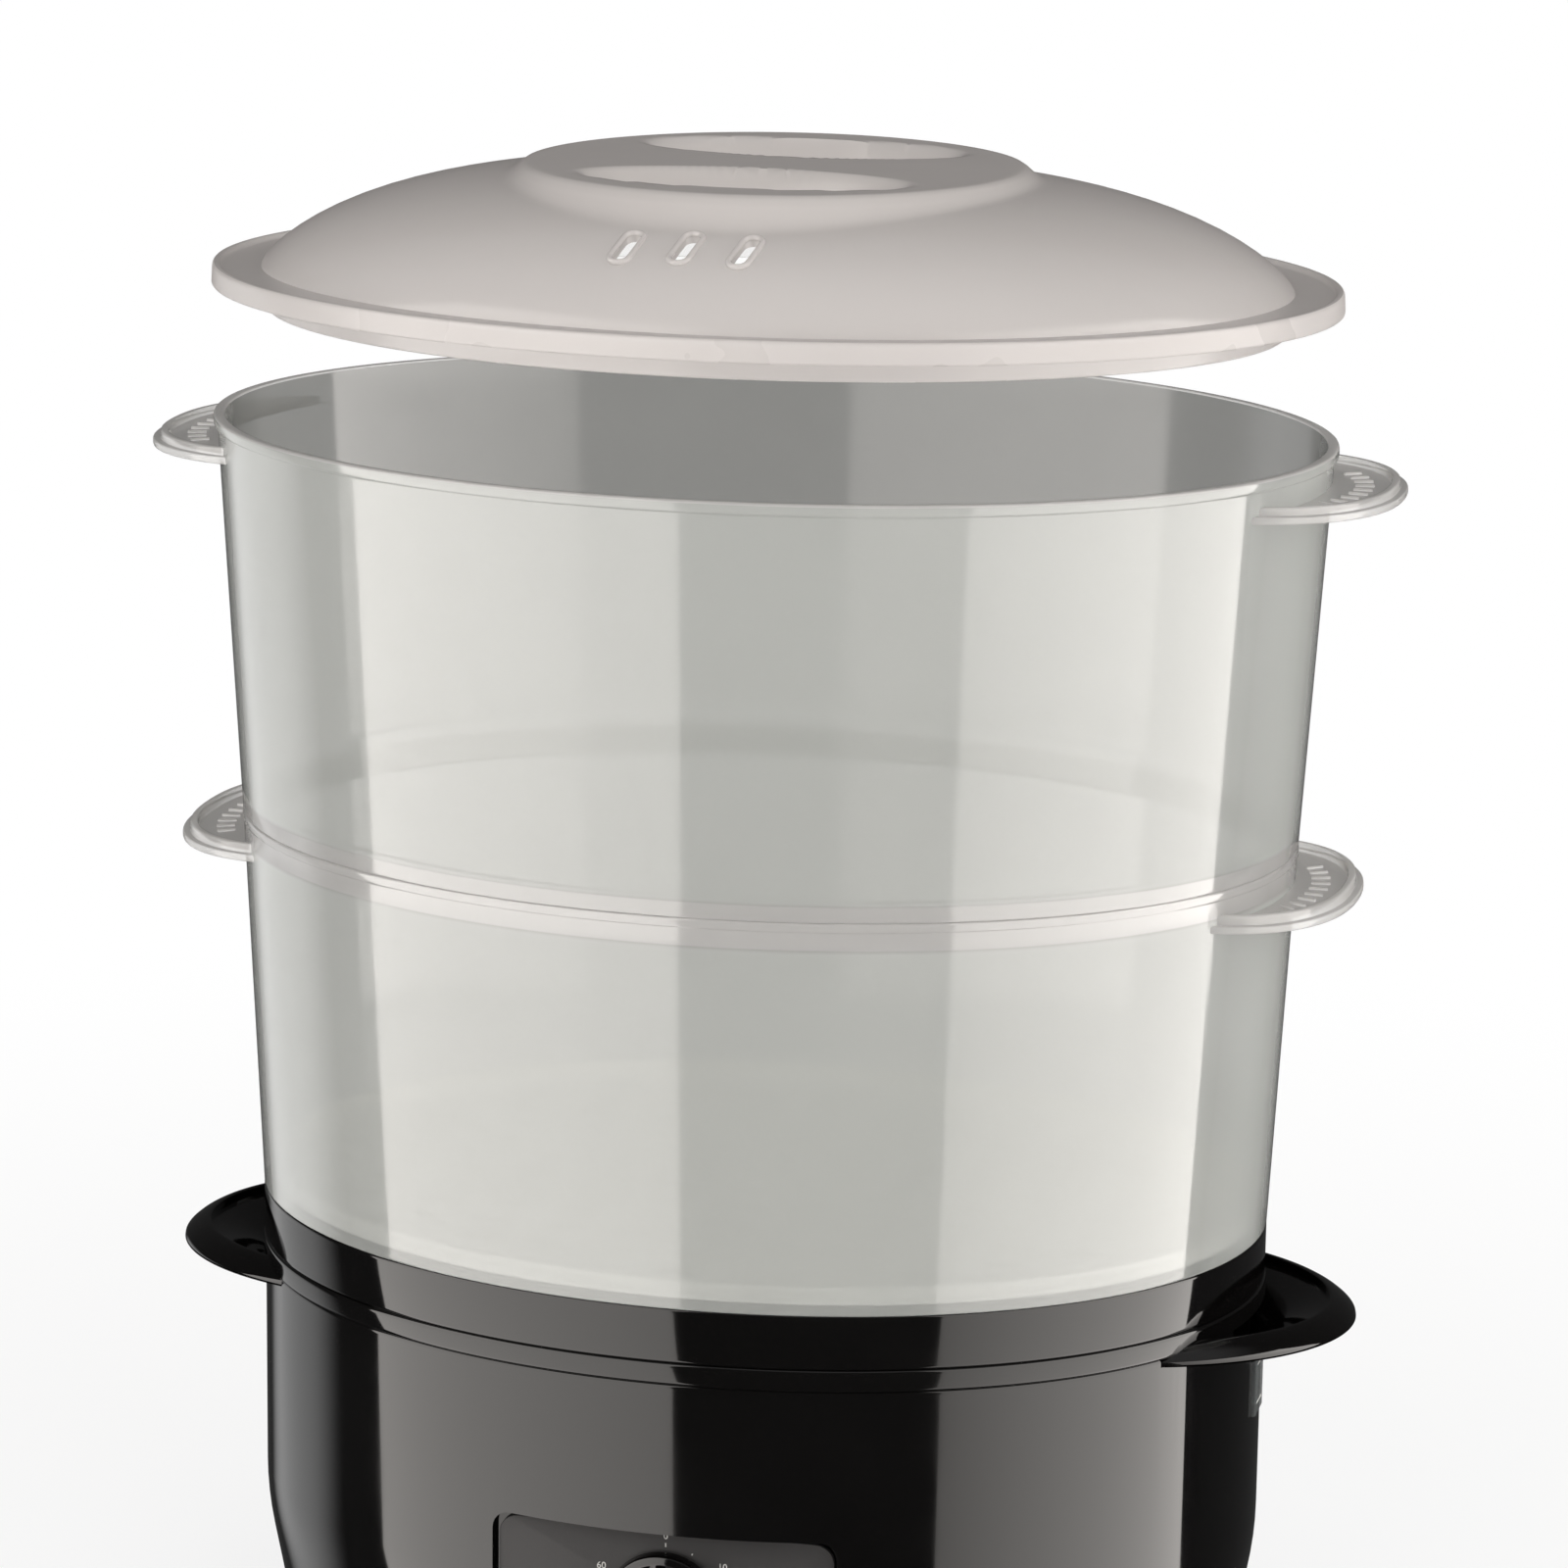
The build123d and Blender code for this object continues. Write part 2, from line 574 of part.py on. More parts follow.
def scoop_outline(z, draw_in=0.0):
    """Outline of the fill scoop at the +X end."""
    centre_x = SCOOP_REACH - SCOOP_HALF_X
    return Pos(centre_x, 0, z) * Ellipse(SCOOP_HALF_X - draw_in, SCOOP_HALF_Y - draw_in)


def scoop_space(inset, z_top, flare=FLARE):
    """The curved space of a fill scoop, drawn in by inset, from its floor to z_top."""
    sections = [
        scoop_outline(Z_LIP_FOOT - drop + inset, draw + inset) for drop, draw in reversed(flare)
    ]
    upright = extrude(sections[-1], z_top - Z_LIP_FOOT - inset + flare[0][0])
    return loft(sections, ruled=True) + upright


def column_places():
    return [(sx * COLUMN_X, sy * COLUMN_Y) for sx in (-1, 1) for sy in (-1, 1)]


def clamp_bolt_places():
    angles = [radians(90 + 360 * index / CLAMP_BOLTS) for index in range(CLAMP_BOLTS)]
    return [(CLAMP_BOLT_R * cos(angle), CLAMP_BOLT_R * sin(angle)) for angle in angles]


def window_slot(play):
    """Space of the water gauge window through the casing and the tank wall at the +X end."""
    z_low = Z_TANK + TANK_FLOOR + WINDOW_LIFT
    half = WINDOW_WIDTH / 2 + play
    return block(
        (BODY_HALF - BODY_WALL - TANK_GAP - TANK_WALL - OVER, BODY_HALF + WINDOW_PROUD),
        (-half, half),
        (z_low - play, z_low + WINDOW_HEIGHT + play),
    )


def make_base_housing():
    """Ring, tank and fill scoops in one moulding, with screw columns below."""
    tank_inset = BODY_WALL + TANK_GAP
    tank = oval_disc(BODY_HALF, Z_TANK, Z_RING, tank_inset)
    ring = oval_disc(RING_HALF, Z_RING, Z_COLLAR)
    scoop = scoop_space(FLARE_WALL + TANK_GAP, Z_LIP_FOOT)
    lip = loft([scoop_outline(Z_LIP_FOOT + rise, draw) for rise, draw in SCOOP_BEVEL], ruled=True)
    hollow = scoop_space(FLARE_WALL + TANK_GAP + SCOOP_WALL, Z_LIP + OVER, FLARE[1:])
    hollow -= oval_disc(RING_HALF, Z_TANK, Z_LOWER)
    housing = tank + ring + both_ends((scoop + lip) - hollow)
    housing -= oval_disc(BODY_HALF, Z_TANK_TOP, Z_RING + OVER, tank_inset + TANK_WALL)
    housing -= oval_disc(RING_HALF, Z_RING, Z_COLLAR + OVER, RING_WALL)
    z_inlet = Z_RING - INLET_HEIGHT - RING_WALL
    inlet = block(
        (BODY_HALF - INLET_BITE, RING_HALF + OVER),
        (-INLET_WIDTH / 2, INLET_WIDTH / 2),
        (z_inlet, z_inlet + INLET_HEIGHT),
    )
    housing -= both_ends(inlet)
    housing -= window_slot(WINDOW_PLAY)
    for x, y in column_places():
        column = rod(COLUMN_R, x, y, Z_COLUMN, Z_TANK + OVER)
        housing += column
        housing -= rod(SCREW_R, x, y, Z_COLUMN - OVER, Z_COLUMN + SCREW_BITE + 2 * OVER)
    housing -= rod(PLATE_BOSS_R + PLATE_HOLE_PLAY, 0, 0, Z_TANK - OVER, Z_TANK_TOP + OVER)
    for x, y in clamp_bolt_places():
        housing += rod(CLAMP_BOSS_R, x, y, Z_TANK - SEAL_THICK - PLATE_THICK, Z_TANK + OVER)
        housing -= rod(SCREW_R, x, y, Z_TANK - SEAL_THICK - PLATE_THICK - OVER, Z_TANK + TANK_FLOOR / 2)
    return housing


def panel_recess(grow):
    """Flat-backed recess in the front of the casing, where the controls sit."""
    half, z_half = PANEL_HALF_WIDTH + grow, PANEL_HEIGHT / 2 + grow
    return block((-half, half), (-BODY_HALF, PANEL_Y + grow), (PANEL_Z - z_half, PANEL_Z + z_half))


def make_base_body():
    """Lower casing with the control recess and the flares under the scoops."""
    z_straight = Z_BODY + BODY_TAPER_HEIGHT
    outer = oval_loft((BODY_FOOT_HALF, Z_BODY), (BODY_HALF, z_straight), (BODY_HALF, Z_RING))
    inner = oval_loft(
        (BODY_FOOT_HALF, Z_BODY + COVER_THICK, BODY_WALL),
        (BODY_HALF, z_straight, BODY_WALL),
        (BODY_HALF, Z_RING + OVER, BODY_WALL),
    )
    flare = loft([scoop_outline(Z_LIP_FOOT - drop, draw) for drop, draw in reversed(FLARE)], ruled=True)
    casing = outer + both_ends(flare) - panel_recess(0.0)
    casing -= inner - panel_recess(BODY_WALL)
    casing -= both_ends(scoop_space(FLARE_WALL, Z_RING + OVER))
    casing -= both_ends(extrude(scoop_outline(Z_LIP_FOOT, -TANK_GAP), Z_LOWER - Z_LIP_FOOT))
    z_lip = Z_BODY + COVER_THICK
    lip = oval_disc(BODY_FOOT_HALF, z_lip, z_lip + BODY_LIP_THICK, BODY_WALL / 2)
    lip -= oval_disc(BODY_FOOT_HALF, z_lip - OVER, z_lip + BODY_LIP_THICK + OVER, BODY_WALL + BODY_LIP)
    casing += lip
    casing -= oval_disc(BODY_FOOT_HALF, Z_BODY - OVER, z_lip, BODY_WALL)
    casing -= bar_y(SHAFT_R + PANEL_HOLE_PLAY, 0, PANEL_Z, PANEL_Y - OVER, PANEL_Y + BODY_WALL + OVER)
    casing -= bar_y(LENS_R + LENS_PLAY, LENS_X, PANEL_Z, PANEL_Y - OVER, PANEL_Y + BODY_WALL + OVER)
    for x in (-TIMER_SCREW_X, TIMER_SCREW_X):
        casing -= bar_y(SCREW_R + SCREW_PLAY, x, PANEL_Z, PANEL_Y - OVER, PANEL_Y + BODY_WALL + OVER)
    casing -= window_slot(WINDOW_PLAY)
    casing -= bar_y(GLAND_R + SCREW_PLAY, 0, GLAND_Z, 0, BODY_HALF)
    return casing


def make_bottom_cover():
    cover = oval_disc(BODY_FOOT_HALF, Z_COVER, Z_COVER + COVER_THICK, BODY_WALL + COVER_GAP)
    for x, y in column_places():
        cover -= rod(SCREW_R + SCREW_CLEAR, x, y, Z_COVER - OVER, Z_COVER + COVER_THICK + OVER)
        cover += rod(COLUMN_R, x, y, Z_COVER + COVER_THICK, Z_COLUMN)
        cover -= rod(SCREW_HEAD_R + SCREW_CLEAR, x, y, Z_COVER - OVER, Z_COVER + COVER_THICK)
        cover -= rod(SCREW_R + SCREW_CLEAR, x, y, Z_COVER, Z_COLUMN + OVER)
    for x, y in foot_places():
        cover -= rod(FOOT_STEM_R, x, y, Z_COVER - OVER, Z_COVER + COVER_THICK + OVER)
    return cover


def foot_places():
    return [(sx * FOOT_X, sy * FOOT_Y) for sx in (-1, 1) for sy in (-1, 1)]


def make_rubber_feet():
    feet = []
    for x, y in foot_places():
        pad = chamfer(rod(FOOT_R, x, y, 0, Z_COVER).edges().group_by(Axis.Z)[0], FOOT_CHAMFER)
        feet.append(pad + rod(FOOT_STEM_R - FIT, x, y, Z_COVER, Z_COVER + COVER_THICK + FOOT_STEM_TOP))
    return solids_of(*feet)


def make_cover_screws():
    z_head = Z_COVER + COVER_THICK - SCREW_HEAD
    length = Z_COLUMN - Z_COVER - COVER_THICK + SCREW_BITE
    return solids_of(*[pan_screw(x, y, z_head, length, SCREW_R - FIT) for x, y in column_places()])


# ---- heating element, hung under the hole in the tank floor ----
def make_heating_plate():
    """Shallow dish whose raised middle closes the hole in the tank floor."""
    rise = TANK_FLOOR + SEAL_THICK + PLATE_THICK + PLATE_BOSS_RISE
    dish = rod(PLATE_R, 0, 0, Z_PLATE, Z_PLATE + PLATE_THICK)
    dish += rod(PLATE_BOSS_R, 0, 0, Z_PLATE, Z_PLATE + rise)
    dish = fillet(dish.edges().group_by(Axis.Z)[-1], PLATE_ROUND)
    return dish - rod(PLATE_BOSS_R - PLATE_THICK, 0, 0, Z_PLATE - OVER, Z_PLATE + rise - PLATE_THICK)


def make_element_seal():
    outer = rod(PLATE_R - FIT, 0, 0, Z_TANK - SEAL_THICK, Z_TANK)
    return outer - rod(PLATE_R - SEAL_WIDTH, 0, 0, Z_TANK - SEAL_THICK - OVER, Z_TANK + OVER)


def make_element_clamp():
    z_low, z_high = Z_PLATE - CLAMP_THICK, Z_PLATE
    clamp = rod(PLATE_R, 0, 0, z_low, z_high)
    for x, y in clamp_bolt_places():
        clamp += rod(CLAMP_EAR_R, x, y, z_low, z_high)
    clamp -= rod(PLATE_R - CLAMP_BAND, 0, 0, z_low - OVER, z_high + OVER)
    for x, y in clamp_bolt_places():
        clamp -= rod(SCREW_R + SCREW_CLEAR, x, y, z_low - OVER, z_high + OVER)
    return clamp


def make_clamp_screws():
    z_head = Z_PLATE - CLAMP_THICK - SCREW_HEAD
    length = CLAMP_THICK + PLATE_THICK + SEAL_THICK
    return solids_of(*[pan_screw(x, y, z_head, length, SCREW_R - FIT) for x, y in clamp_bolt_places()])


def make_heating_tube():
    section = Plane.XZ * Pos(TUBE_RING_R, Z_TUBE) * Circle(TUBE_R)
    return Rot(0, 0, TUBE_START) * revolve(section, Axis.Z, TUBE_SWEEP)


def make_element_terminals():
    """Connection pins that drop from the tube's two ends, each on a clip of its own."""
    pins = []
    section = Plane.XZ * Pos(TUBE_RING_R, Z_TUBE) * Circle(TUBE_R)
    span = degrees_of(2 * TERMINAL_CAP, TUBE_RING_R)
    gap = degrees_of(FIT, TUBE_RING_R)
    for index, start in ((0, TUBE_START - gap - span), (1, TUBE_START + TUBE_SWEEP + gap)):
        x, y, z_foot = terminal_foot(index)
        cap = Rot(0, 0, start) * revolve(section, Axis.Z, span)
        pins.append(cap + rod(TERMINAL_R, x, y, z_foot, Z_TUBE))
    return solids_of(*pins)


def degrees_of(arc, radius):
    return arc / radius * 180 / pi


def make_thermostat():
    z_high = Z_PLATE_UNDER - FIT
    disc = rod(THERMOSTAT_R, 0, 0, z_high - THERMOSTAT_HEIGHT, z_high)
    z_tab = z_high - THERMOSTAT_HEIGHT / 2
    for x in (-TAB_OFFSET, TAB_OFFSET):
        disc += block(
            (x - TAB_THICK / 2, x + TAB_THICK / 2),
            (THERMOSTAT_R - OVER, THERMOSTAT_R + TAB_LENGTH),
            (z_tab - TAB_WIDTH / 2, z_tab + TAB_WIDTH / 2),
        )
    return disc


def make_thermostat_clip():
    """Bridge that presses the thermostat to the plate, on two posts."""
    z_high = Z_PLATE_UNDER - FIT - THERMOSTAT_HEIGHT
    half_y = CLIP_WIDTH / 2
    clip = block((-CLIP_HALF, CLIP_HALF), (-half_y, half_y), (z_high - CLIP_THICK, z_high))
    for x in (-CLIP_HALF + CLIP_POST_R, CLIP_HALF - CLIP_POST_R):
        clip += rod(CLIP_POST_R, x, 0, z_high - CLIP_THICK, Z_PLATE_UNDER - FIT)
    return clip


def make_thermal_fuse():
    """One-shot fuse that lies against the plate, with a lead at each end."""
    z = Z_PLATE_UNDER - FUSE_R - TUBE_GAP
    turn = Pos(0, FUSE_Y, z) * Rot(0, 90, 0)
    return turn * Cylinder(FUSE_R, FUSE_LENGTH) + turn * Cylinder(FUSE_LEAD_R, FUSE_LENGTH + 2 * FUSE_LEAD)


def make_steam_ring():
    """Loose ring that stands in the tank around the heating plate."""
    z_low = Z_TANK_TOP
    ring = rod(STEAM_RING_R, 0, 0, z_low, z_low + STEAM_RING_HEIGHT)
    ring -= rod(STEAM_RING_R - STEAM_RING_WALL, 0, 0, z_low - OVER, z_low + STEAM_RING_HEIGHT + OVER)
    half = STEAM_NOTCH_WIDTH / 2
    reach = STEAM_RING_R + OVER
    ring -= block((-reach, reach), (-half, half), (z_low - OVER, z_low + STEAM_NOTCH_HEIGHT))
    ring -= block((-half, half), (-reach, reach), (z_low - OVER, z_low + STEAM_NOTCH_HEIGHT))
    return ring


# ---- timer, behind the control recess ----
def toothed_disc(teeth, module, width, y_front, x, z, phase, play=GEAR_PLAY):
    """Gear along Y, tapered teeth with play, one tooth centred at phase degrees from +X."""
    pitch_r, step = module * teeth / 2, 2 * pi / teeth
    tip_r, root_r = pitch_r + TOOTH_TIP * module, pitch_r - TOOTH_ROOT * module
    flanks = ((root_r, -ROOT_SHARE), (tip_r, -TIP_SHARE), (tip_r, TIP_SHARE), (root_r, ROOT_SHARE))
    points = []
    for index in range(teeth):
        middle = radians(phase) + index * step
        for radius, share in flanks:
            angle = middle + share * step - copysign(play / pitch_r, share)
            points.append((radius * cos(angle), radius * sin(angle)))
    profile = make_face(Polyline(*points, close=True))
    return Pos(x, y_front + width, z) * Rot(90, 0, 0) * extrude(profile, width)


def make_timer_case():
    """Cup that holds the movement, open to the back."""
    case = bar_y(CASE_R, 0, PANEL_Z, Y_CASE, Y_BACK)
    case -= bar_y(CASE_R - CASE_WALL, 0, PANEL_Z, Y_CASE + CASE_WALL, Y_BACK + OVER)
    case -= bar_y(SHAFT_R + BEARING_PLAY, 0, PANEL_Z, Y_CASE - OVER, Y_CASE + CASE_WALL + OVER)
    case -= bar_y(ARBOR_R + BEARING_PLAY, 0, PINION_Z, Y_CASE - OVER, Y_CASE + CASE_WALL + OVER)
    for x in (-TIMER_SCREW_X, TIMER_SCREW_X):
        case -= bar_y(SCREW_R, x, PANEL_Z, Y_CASE - OVER, Y_CASE + CASE_WALL + OVER)
    return case


def make_timer_back_plate():
    plate = bar_y(CASE_R, 0, PANEL_Z, Y_BACK, Y_BACK + BACK_PLATE)
    plate -= bar_y(SHAFT_R + BEARING_PLAY, 0, PANEL_Z, Y_BACK - OVER, Y_BACK + BACK_PLATE + OVER)
    plate -= bar_y(ARBOR_R + BEARING_PLAY, 0, PINION_Z, Y_BACK - OVER, Y_BACK + BACK_PLATE + OVER)
    plate += bar_y(BELL_POST_R, -BELL_OFFSET, PANEL_Z, Y_BACK, Y_BELL)
    plate += bar_y(HAMMER_PIN_R, HAMMER_X, PANEL_Z, Y_BACK, Y_HAMMER + HAMMER_THICK + HAMMER_PIN_END)
    return plate


def make_timer_bell():
    """Shallow gong on a post behind the movement, its mouth to the front."""
    bell = bar_y(BELL_R, -BELL_OFFSET, PANEL_Z, Y_BELL, Y_BELL + BELL_DEPTH)
    bell = fillet(bell.edges().group_by(Axis.Y)[-1], BELL_ROUND)
    y_crown = Y_BELL + BELL_DEPTH - BELL_WALL
    bell -= bar_y(BELL_R - BELL_WALL, -BELL_OFFSET, PANEL_Z, Y_BELL - OVER, y_crown)
    hub = bar_y(BELL_POST_R + BELL_HUB_WALL, -BELL_OFFSET, PANEL_Z, Y_BELL, y_crown)
    return bell + hub


def make_bell_hammer():
    """Striker on a pin beside the gong; it swings in about Y."""
    y_front, y_back = Y_HAMMER, Y_HAMMER + HAMMER_THICK
    half = HAMMER_WIDTH / 2
    z_head = PANEL_Z + HAMMER_REACH
    arm = block((HAMMER_X - half, HAMMER_X + half), (y_front, y_back), (PANEL_Z, z_head))
    arm += bar_y(HAMMER_EYE_R, HAMMER_X, PANEL_Z, y_front, y_back)
    arm += bar_y(HAMMER_HEAD_R, HAMMER_X, z_head, y_front, y_back + HAMMER_HEAD)
    return arm - bar_y(HAMMER_PIN_R + BEARING_PLAY, HAMMER_X, PANEL_Z, y_front - OVER, y_back + OVER)


def make_timer_shaft():
    """Arbor from the back bearing through the case and the panel into the knob."""
    y_front = PANEL_Y - FASCIA_THICK - KNOB_DEPTH + KNOB_CAP
    shaft = bar_y(SHAFT_R, 0, PANEL_Z, y_front, Y_BACK + BACK_PLATE)
    flat = block(
        (-SHAFT_R, SHAFT_R),
        (y_front - OVER, PANEL_Y - FASCIA_THICK - KNOB_GAP),
        (PANEL_Z + SHAFT_FLAT, PANEL_Z + SHAFT_R + OVER),
    )
    return shaft - flat


def make_timer_main_wheel():
    """Wheel on the arbor that drives the escapement's pinion."""
    wheel = toothed_disc(WHEEL_TEETH, GEAR_MODULE, GEAR_WIDTH, Y_WHEEL, 0, PANEL_Z, 90.0)
    return wheel - bar_y(SHAFT_R + FIT, 0, PANEL_Z, Y_WHEEL - OVER, Y_WHEEL + GEAR_WIDTH + OVER)


def make_escape_pinion():
    """Pinion, arbor and saw-edged escape wheel turned from one bar."""
    phase = -90.0 + 180.0 / PINION_TEETH
    pinion = toothed_disc(PINION_TEETH, GEAR_MODULE, GEAR_WIDTH, Y_WHEEL, 0, PINION_Z, phase)
    arbor = bar_y(ARBOR_R, 0, PINION_Z, Y_CASE + CASE_WALL / 2, Y_BACK + BACK_PLATE)
    wheel = toothed_disc(ESCAPE_TEETH, ESCAPE_MODULE, GEAR_WIDTH / 2, Y_ESCAPE, 0, PINION_Z, 0.0)
    return pinion + arbor + wheel


def make_timer_mainspring():
    """Flat coil spring around the arbor, hooked to the case wall."""
    y_front = Y_CASE + CASE_WALL + SPRING_SETBACK
    inner_r = SHAFT_R + SPRING_GAP
    outer, inner = [], []
    samples = SPRING_TURNS * SPRING_SAMPLES
    for index in range(samples + 1):
        angle = 2 * pi * SPRING_TURNS * index / samples
        radius = inner_r + SPRING_PITCH * angle / (2 * pi)
        inner.append((radius * cos(angle), radius * sin(angle)))
        outer.append(((radius + SPRING_STRIP) * cos(angle), (radius + SPRING_STRIP) * sin(angle)))
    edges = [Spline(*inner), Spline(*outer), Line(inner[0], outer[0]), Line(inner[-1], outer[-1])]
    coil = make_face(edges)
    coil = Pos(0, y_front + SPRING_WIDTH, PANEL_Z) * Rot(90, 0, 0) * extrude(coil, SPRING_WIDTH)
    reach = inner_r + SPRING_PITCH * SPRING_TURNS
    hook = block(
        (reach, CASE_R - CASE_WALL - FIT),
        (y_front, y_front + SPRING_WIDTH),
        (PANEL_Z - SPRING_STRIP, PANEL_Z),
    )
    return coil + hook


def switch_port():
    """Y and Z of the switch's rear face, where its wires leave."""
    return Y_BACK + BACK_PLATE + SWITCH_DEPTH, Z_SWITCH - SWITCH_HEIGHT / 2


def make_timer_switch():
    """Contact block on the back plate."""
    y_front = Y_BACK + BACK_PLATE
    y_back, _ = switch_port()
    x_range = (-SWITCH_WIDTH / 2, SWITCH_WIDTH / 2)
    y_groove = y_front + SWITCH_GROOVE_SETBACK
    switch = block(x_range, (y_front, y_back), (Z_SWITCH - SWITCH_HEIGHT, Z_SWITCH))
    return switch - block(x_range, (y_groove, y_groove + SWITCH_GROOVE), (Z_SWITCH - SWITCH_GROOVE, Z_SWITCH))


def make_timer_screws():
    """Two screws from the recess into the timer case, under the fascia."""
    screws = []
    for x in (-TIMER_SCREW_X, TIMER_SCREW_X):
        screws.append(bar_y(SCREW_R - FIT, x, PANEL_Z, PANEL_Y, Y_CASE + CASE_WALL))
    return solids_of(*screws)


def make_control_fascia():
    """Thin panel in the recess, with the dial's hole and the lamp's hole."""
    half, z_half = PANEL_HALF_WIDTH - FASCIA_MARGIN, PANEL_HEIGHT / 2 - FASCIA_MARGIN
    fascia = block((-half, half), (PANEL_Y - FASCIA_THICK, PANEL_Y), (PANEL_Z - z_half, PANEL_Z + z_half))
    fascia = fillet(fascia.edges().filter_by(Axis.Y), FASCIA_CORNER)
    fascia -= bar_y(SHAFT_R + PANEL_HOLE_PLAY, 0, PANEL_Z, PANEL_Y - FASCIA_THICK - OVER, PANEL_Y + OVER)
    return fascia - bar_y(LENS_R + LENS_PLAY, LENS_X, PANEL_Z, PANEL_Y - FASCIA_THICK - OVER, PANEL_Y + OVER)


def make_timer_knob():
    """Fluted knob with a skirt, a raised pointer rib and a blind D-shaped bore."""
    y_back = PANEL_Y - FASCIA_THICK - KNOB_GAP
    y_front = PANEL_Y - FASCIA_THICK - KNOB_DEPTH
    knob = bar_y(KNOB_R, 0, PANEL_Z, y_back - KNOB_SKIRT, y_back)
    grip = bar_y(KNOB_GRIP_R, 0, PANEL_Z, y_front, y_back)
    for index in range(KNOB_FLUTES):
        angle = 2 * pi * (index + 0.5) / KNOB_FLUTES
        reach = KNOB_GRIP_R + KNOB_FLUTE_OUT
        x, z = reach * cos(angle), PANEL_Z + reach * sin(angle)
        grip -= bar_y(KNOB_FLUTE_R, x, z, y_front - OVER, y_back - KNOB_SKIRT)
    knob += grip
    bore = bar_y(SHAFT_R + FIT, 0, PANEL_Z, y_front + KNOB_CAP - FIT, y_back + OVER)
    flat = block((-KNOB_R, KNOB_R), (y_front, y_back), (PANEL_Z + SHAFT_FLAT + FIT, PANEL_Z + KNOB_R))
    return knob - (bore - flat)


def make_lamp_lens():
    """Domed lens that snaps into the panel."""
    y_front = PANEL_Y - FASCIA_THICK - LENS_FLANGE
    lens = bar_y(LENS_R + LENS_RIM, LENS_X, PANEL_Z, y_front, PANEL_Y - FASCIA_THICK)
    lens = fillet(lens.edges().group_by(Axis.Y)[0], LENS_FLANGE * 0.8)
    return lens + bar_y(LENS_R, LENS_X, PANEL_Z, PANEL_Y - FASCIA_THICK, PANEL_Y + BODY_WALL + LENS_TAIL)


def make_pilot_lamp():
    y_front = PANEL_Y + BODY_WALL + LENS_TAIL + FIT
    return bar_y(LAMP_R, LENS_X, PANEL_Z, y_front, y_front + LAMP_LENGTH)


def make_water_window():
    """Clear block through casing and tank wall that shows the water level."""
    return window_slot(0.0)


def gland_face():
    """Y of the casing's back face on the middle line at the gland's height."""
    share = min(1.0, (GLAND_Z + GLAND_FLANGE_R - Z_BODY) / BODY_TAPER_HEIGHT)
    return ASPECT * (BODY_FOOT_HALF + (BODY_HALF - BODY_FOOT_HALF) * share)


def make_cord_gland():
    """Bush where the mains cord would enter, a flange outside and a sleeve inside."""
    y_flange = gland_face() + GLAND_STAND_OFF
    y_front = gland_face() - BODY_WALL - GLAND_INNER
    gland = bar_y(GLAND_R, 0, GLAND_Z, y_front, y_flange)
    gland += bar_y(GLAND_FLANGE_R, 0, GLAND_Z, y_flange, y_flange + GLAND_FLANGE)
    return gland - bar_y(GLAND_BORE_R, 0, GLAND_Z, 0, BODY_HALF)


def make_terminal_block():
    """Three-way screw block on the bottom cover."""
    z_low = Z_COVER + COVER_THICK
    z_high = z_low + BLOCK_HEIGHT
    body = block((-BLOCK_WIDTH / 2, BLOCK_WIDTH / 2), (BLOCK_Y, BLOCK_Y + BLOCK_DEPTH), (z_low, z_high))
    for index in (-1, 0, 1):
        x, y, _ = block_port(index)
        body -= rod(BLOCK_SCREW_R, x, y + BLOCK_DEPTH / 2, z_low + BLOCK_SCREW_FLOOR, z_high + OVER)
    return body


def wire(points, radius):
    """Insulated wire along straight runs joined by tangent arcs."""
    path = FilletPolyline(*points, radius=radius)
    start = Plane(origin=path @ 0, z_dir=path % 0)
    return sweep(start * Circle(WIRE_R), path=path)


def block_port(index):
    """Front face of the terminal block's way number -1, 0 or 1."""
    return index * BLOCK_WIDTH / 3, BLOCK_Y, Z_COVER + COVER_THICK + BLOCK_HEIGHT / 2


def make_live_wire():
    """From the terminal block forward to the timer's switch."""
    x, y, z = block_port(-1)
    y_switch, z_switch = switch_port()
    low = Z_COVER + COVER_THICK + WIRE_WIDE_BEND
    x_end = -SWITCH_WAY
    return wire([
        (x, y, z), (x, y - WIRE_RISE_RUN, z), (x, y - WIRE_DROP_RUN, low),
        (x_end, y_switch + WIRE_RISE_RUN, low), (x_end, y_switch + WIRE_LEAD, z_switch),
        (x_end, y_switch, z_switch),
    ], WIRE_WIDE_BEND)


def make_neutral_wire():
    """From the terminal block to one pin of the heating tube."""
    x, y, z = block_port(0)
    pin_x, pin_y, pin_z = terminal_foot(0)
    return wire([
        (x, y, z), (x, y - WIRE_RUN, z), (pin_x, pin_y + PIN_APPROACH, z),
        (pin_x, pin_y, z + PIN_APPROACH), (pin_x, pin_y, pin_z),
    ], WIRE_BEND)


def make_switch_wire():
    """From the timer's switch up to the other pin of the heating tube."""
    y_switch, z_switch = switch_port()
    pin_x, pin_y, pin_z = terminal_foot(1)
    return wire([
        (SWITCH_WAY, y_switch, z_switch), (SWITCH_WAY, y_switch + SWITCH_LEAD, z_switch),
        (pin_x, pin_y - PIN_APPROACH, z_switch + SWITCH_RISE), (pin_x, pin_y, z_switch + WIRE_LEAD),
        (pin_x, pin_y, pin_z),
    ], WIRE_BEND)


def make_earth_wire():
    """From the terminal block to the tag on the clamp ring's rear screw."""
    x, y, z = block_port(1)
    tag_x, tag_y, tag_z = earth_tag_end()
    return wire([
        (x, y, z), (x, y - WIRE_LEAD, z), (tag_x, tag_y, tag_z - EARTH_DROP), (tag_x, tag_y, tag_z),
    ], WIRE_BEND)


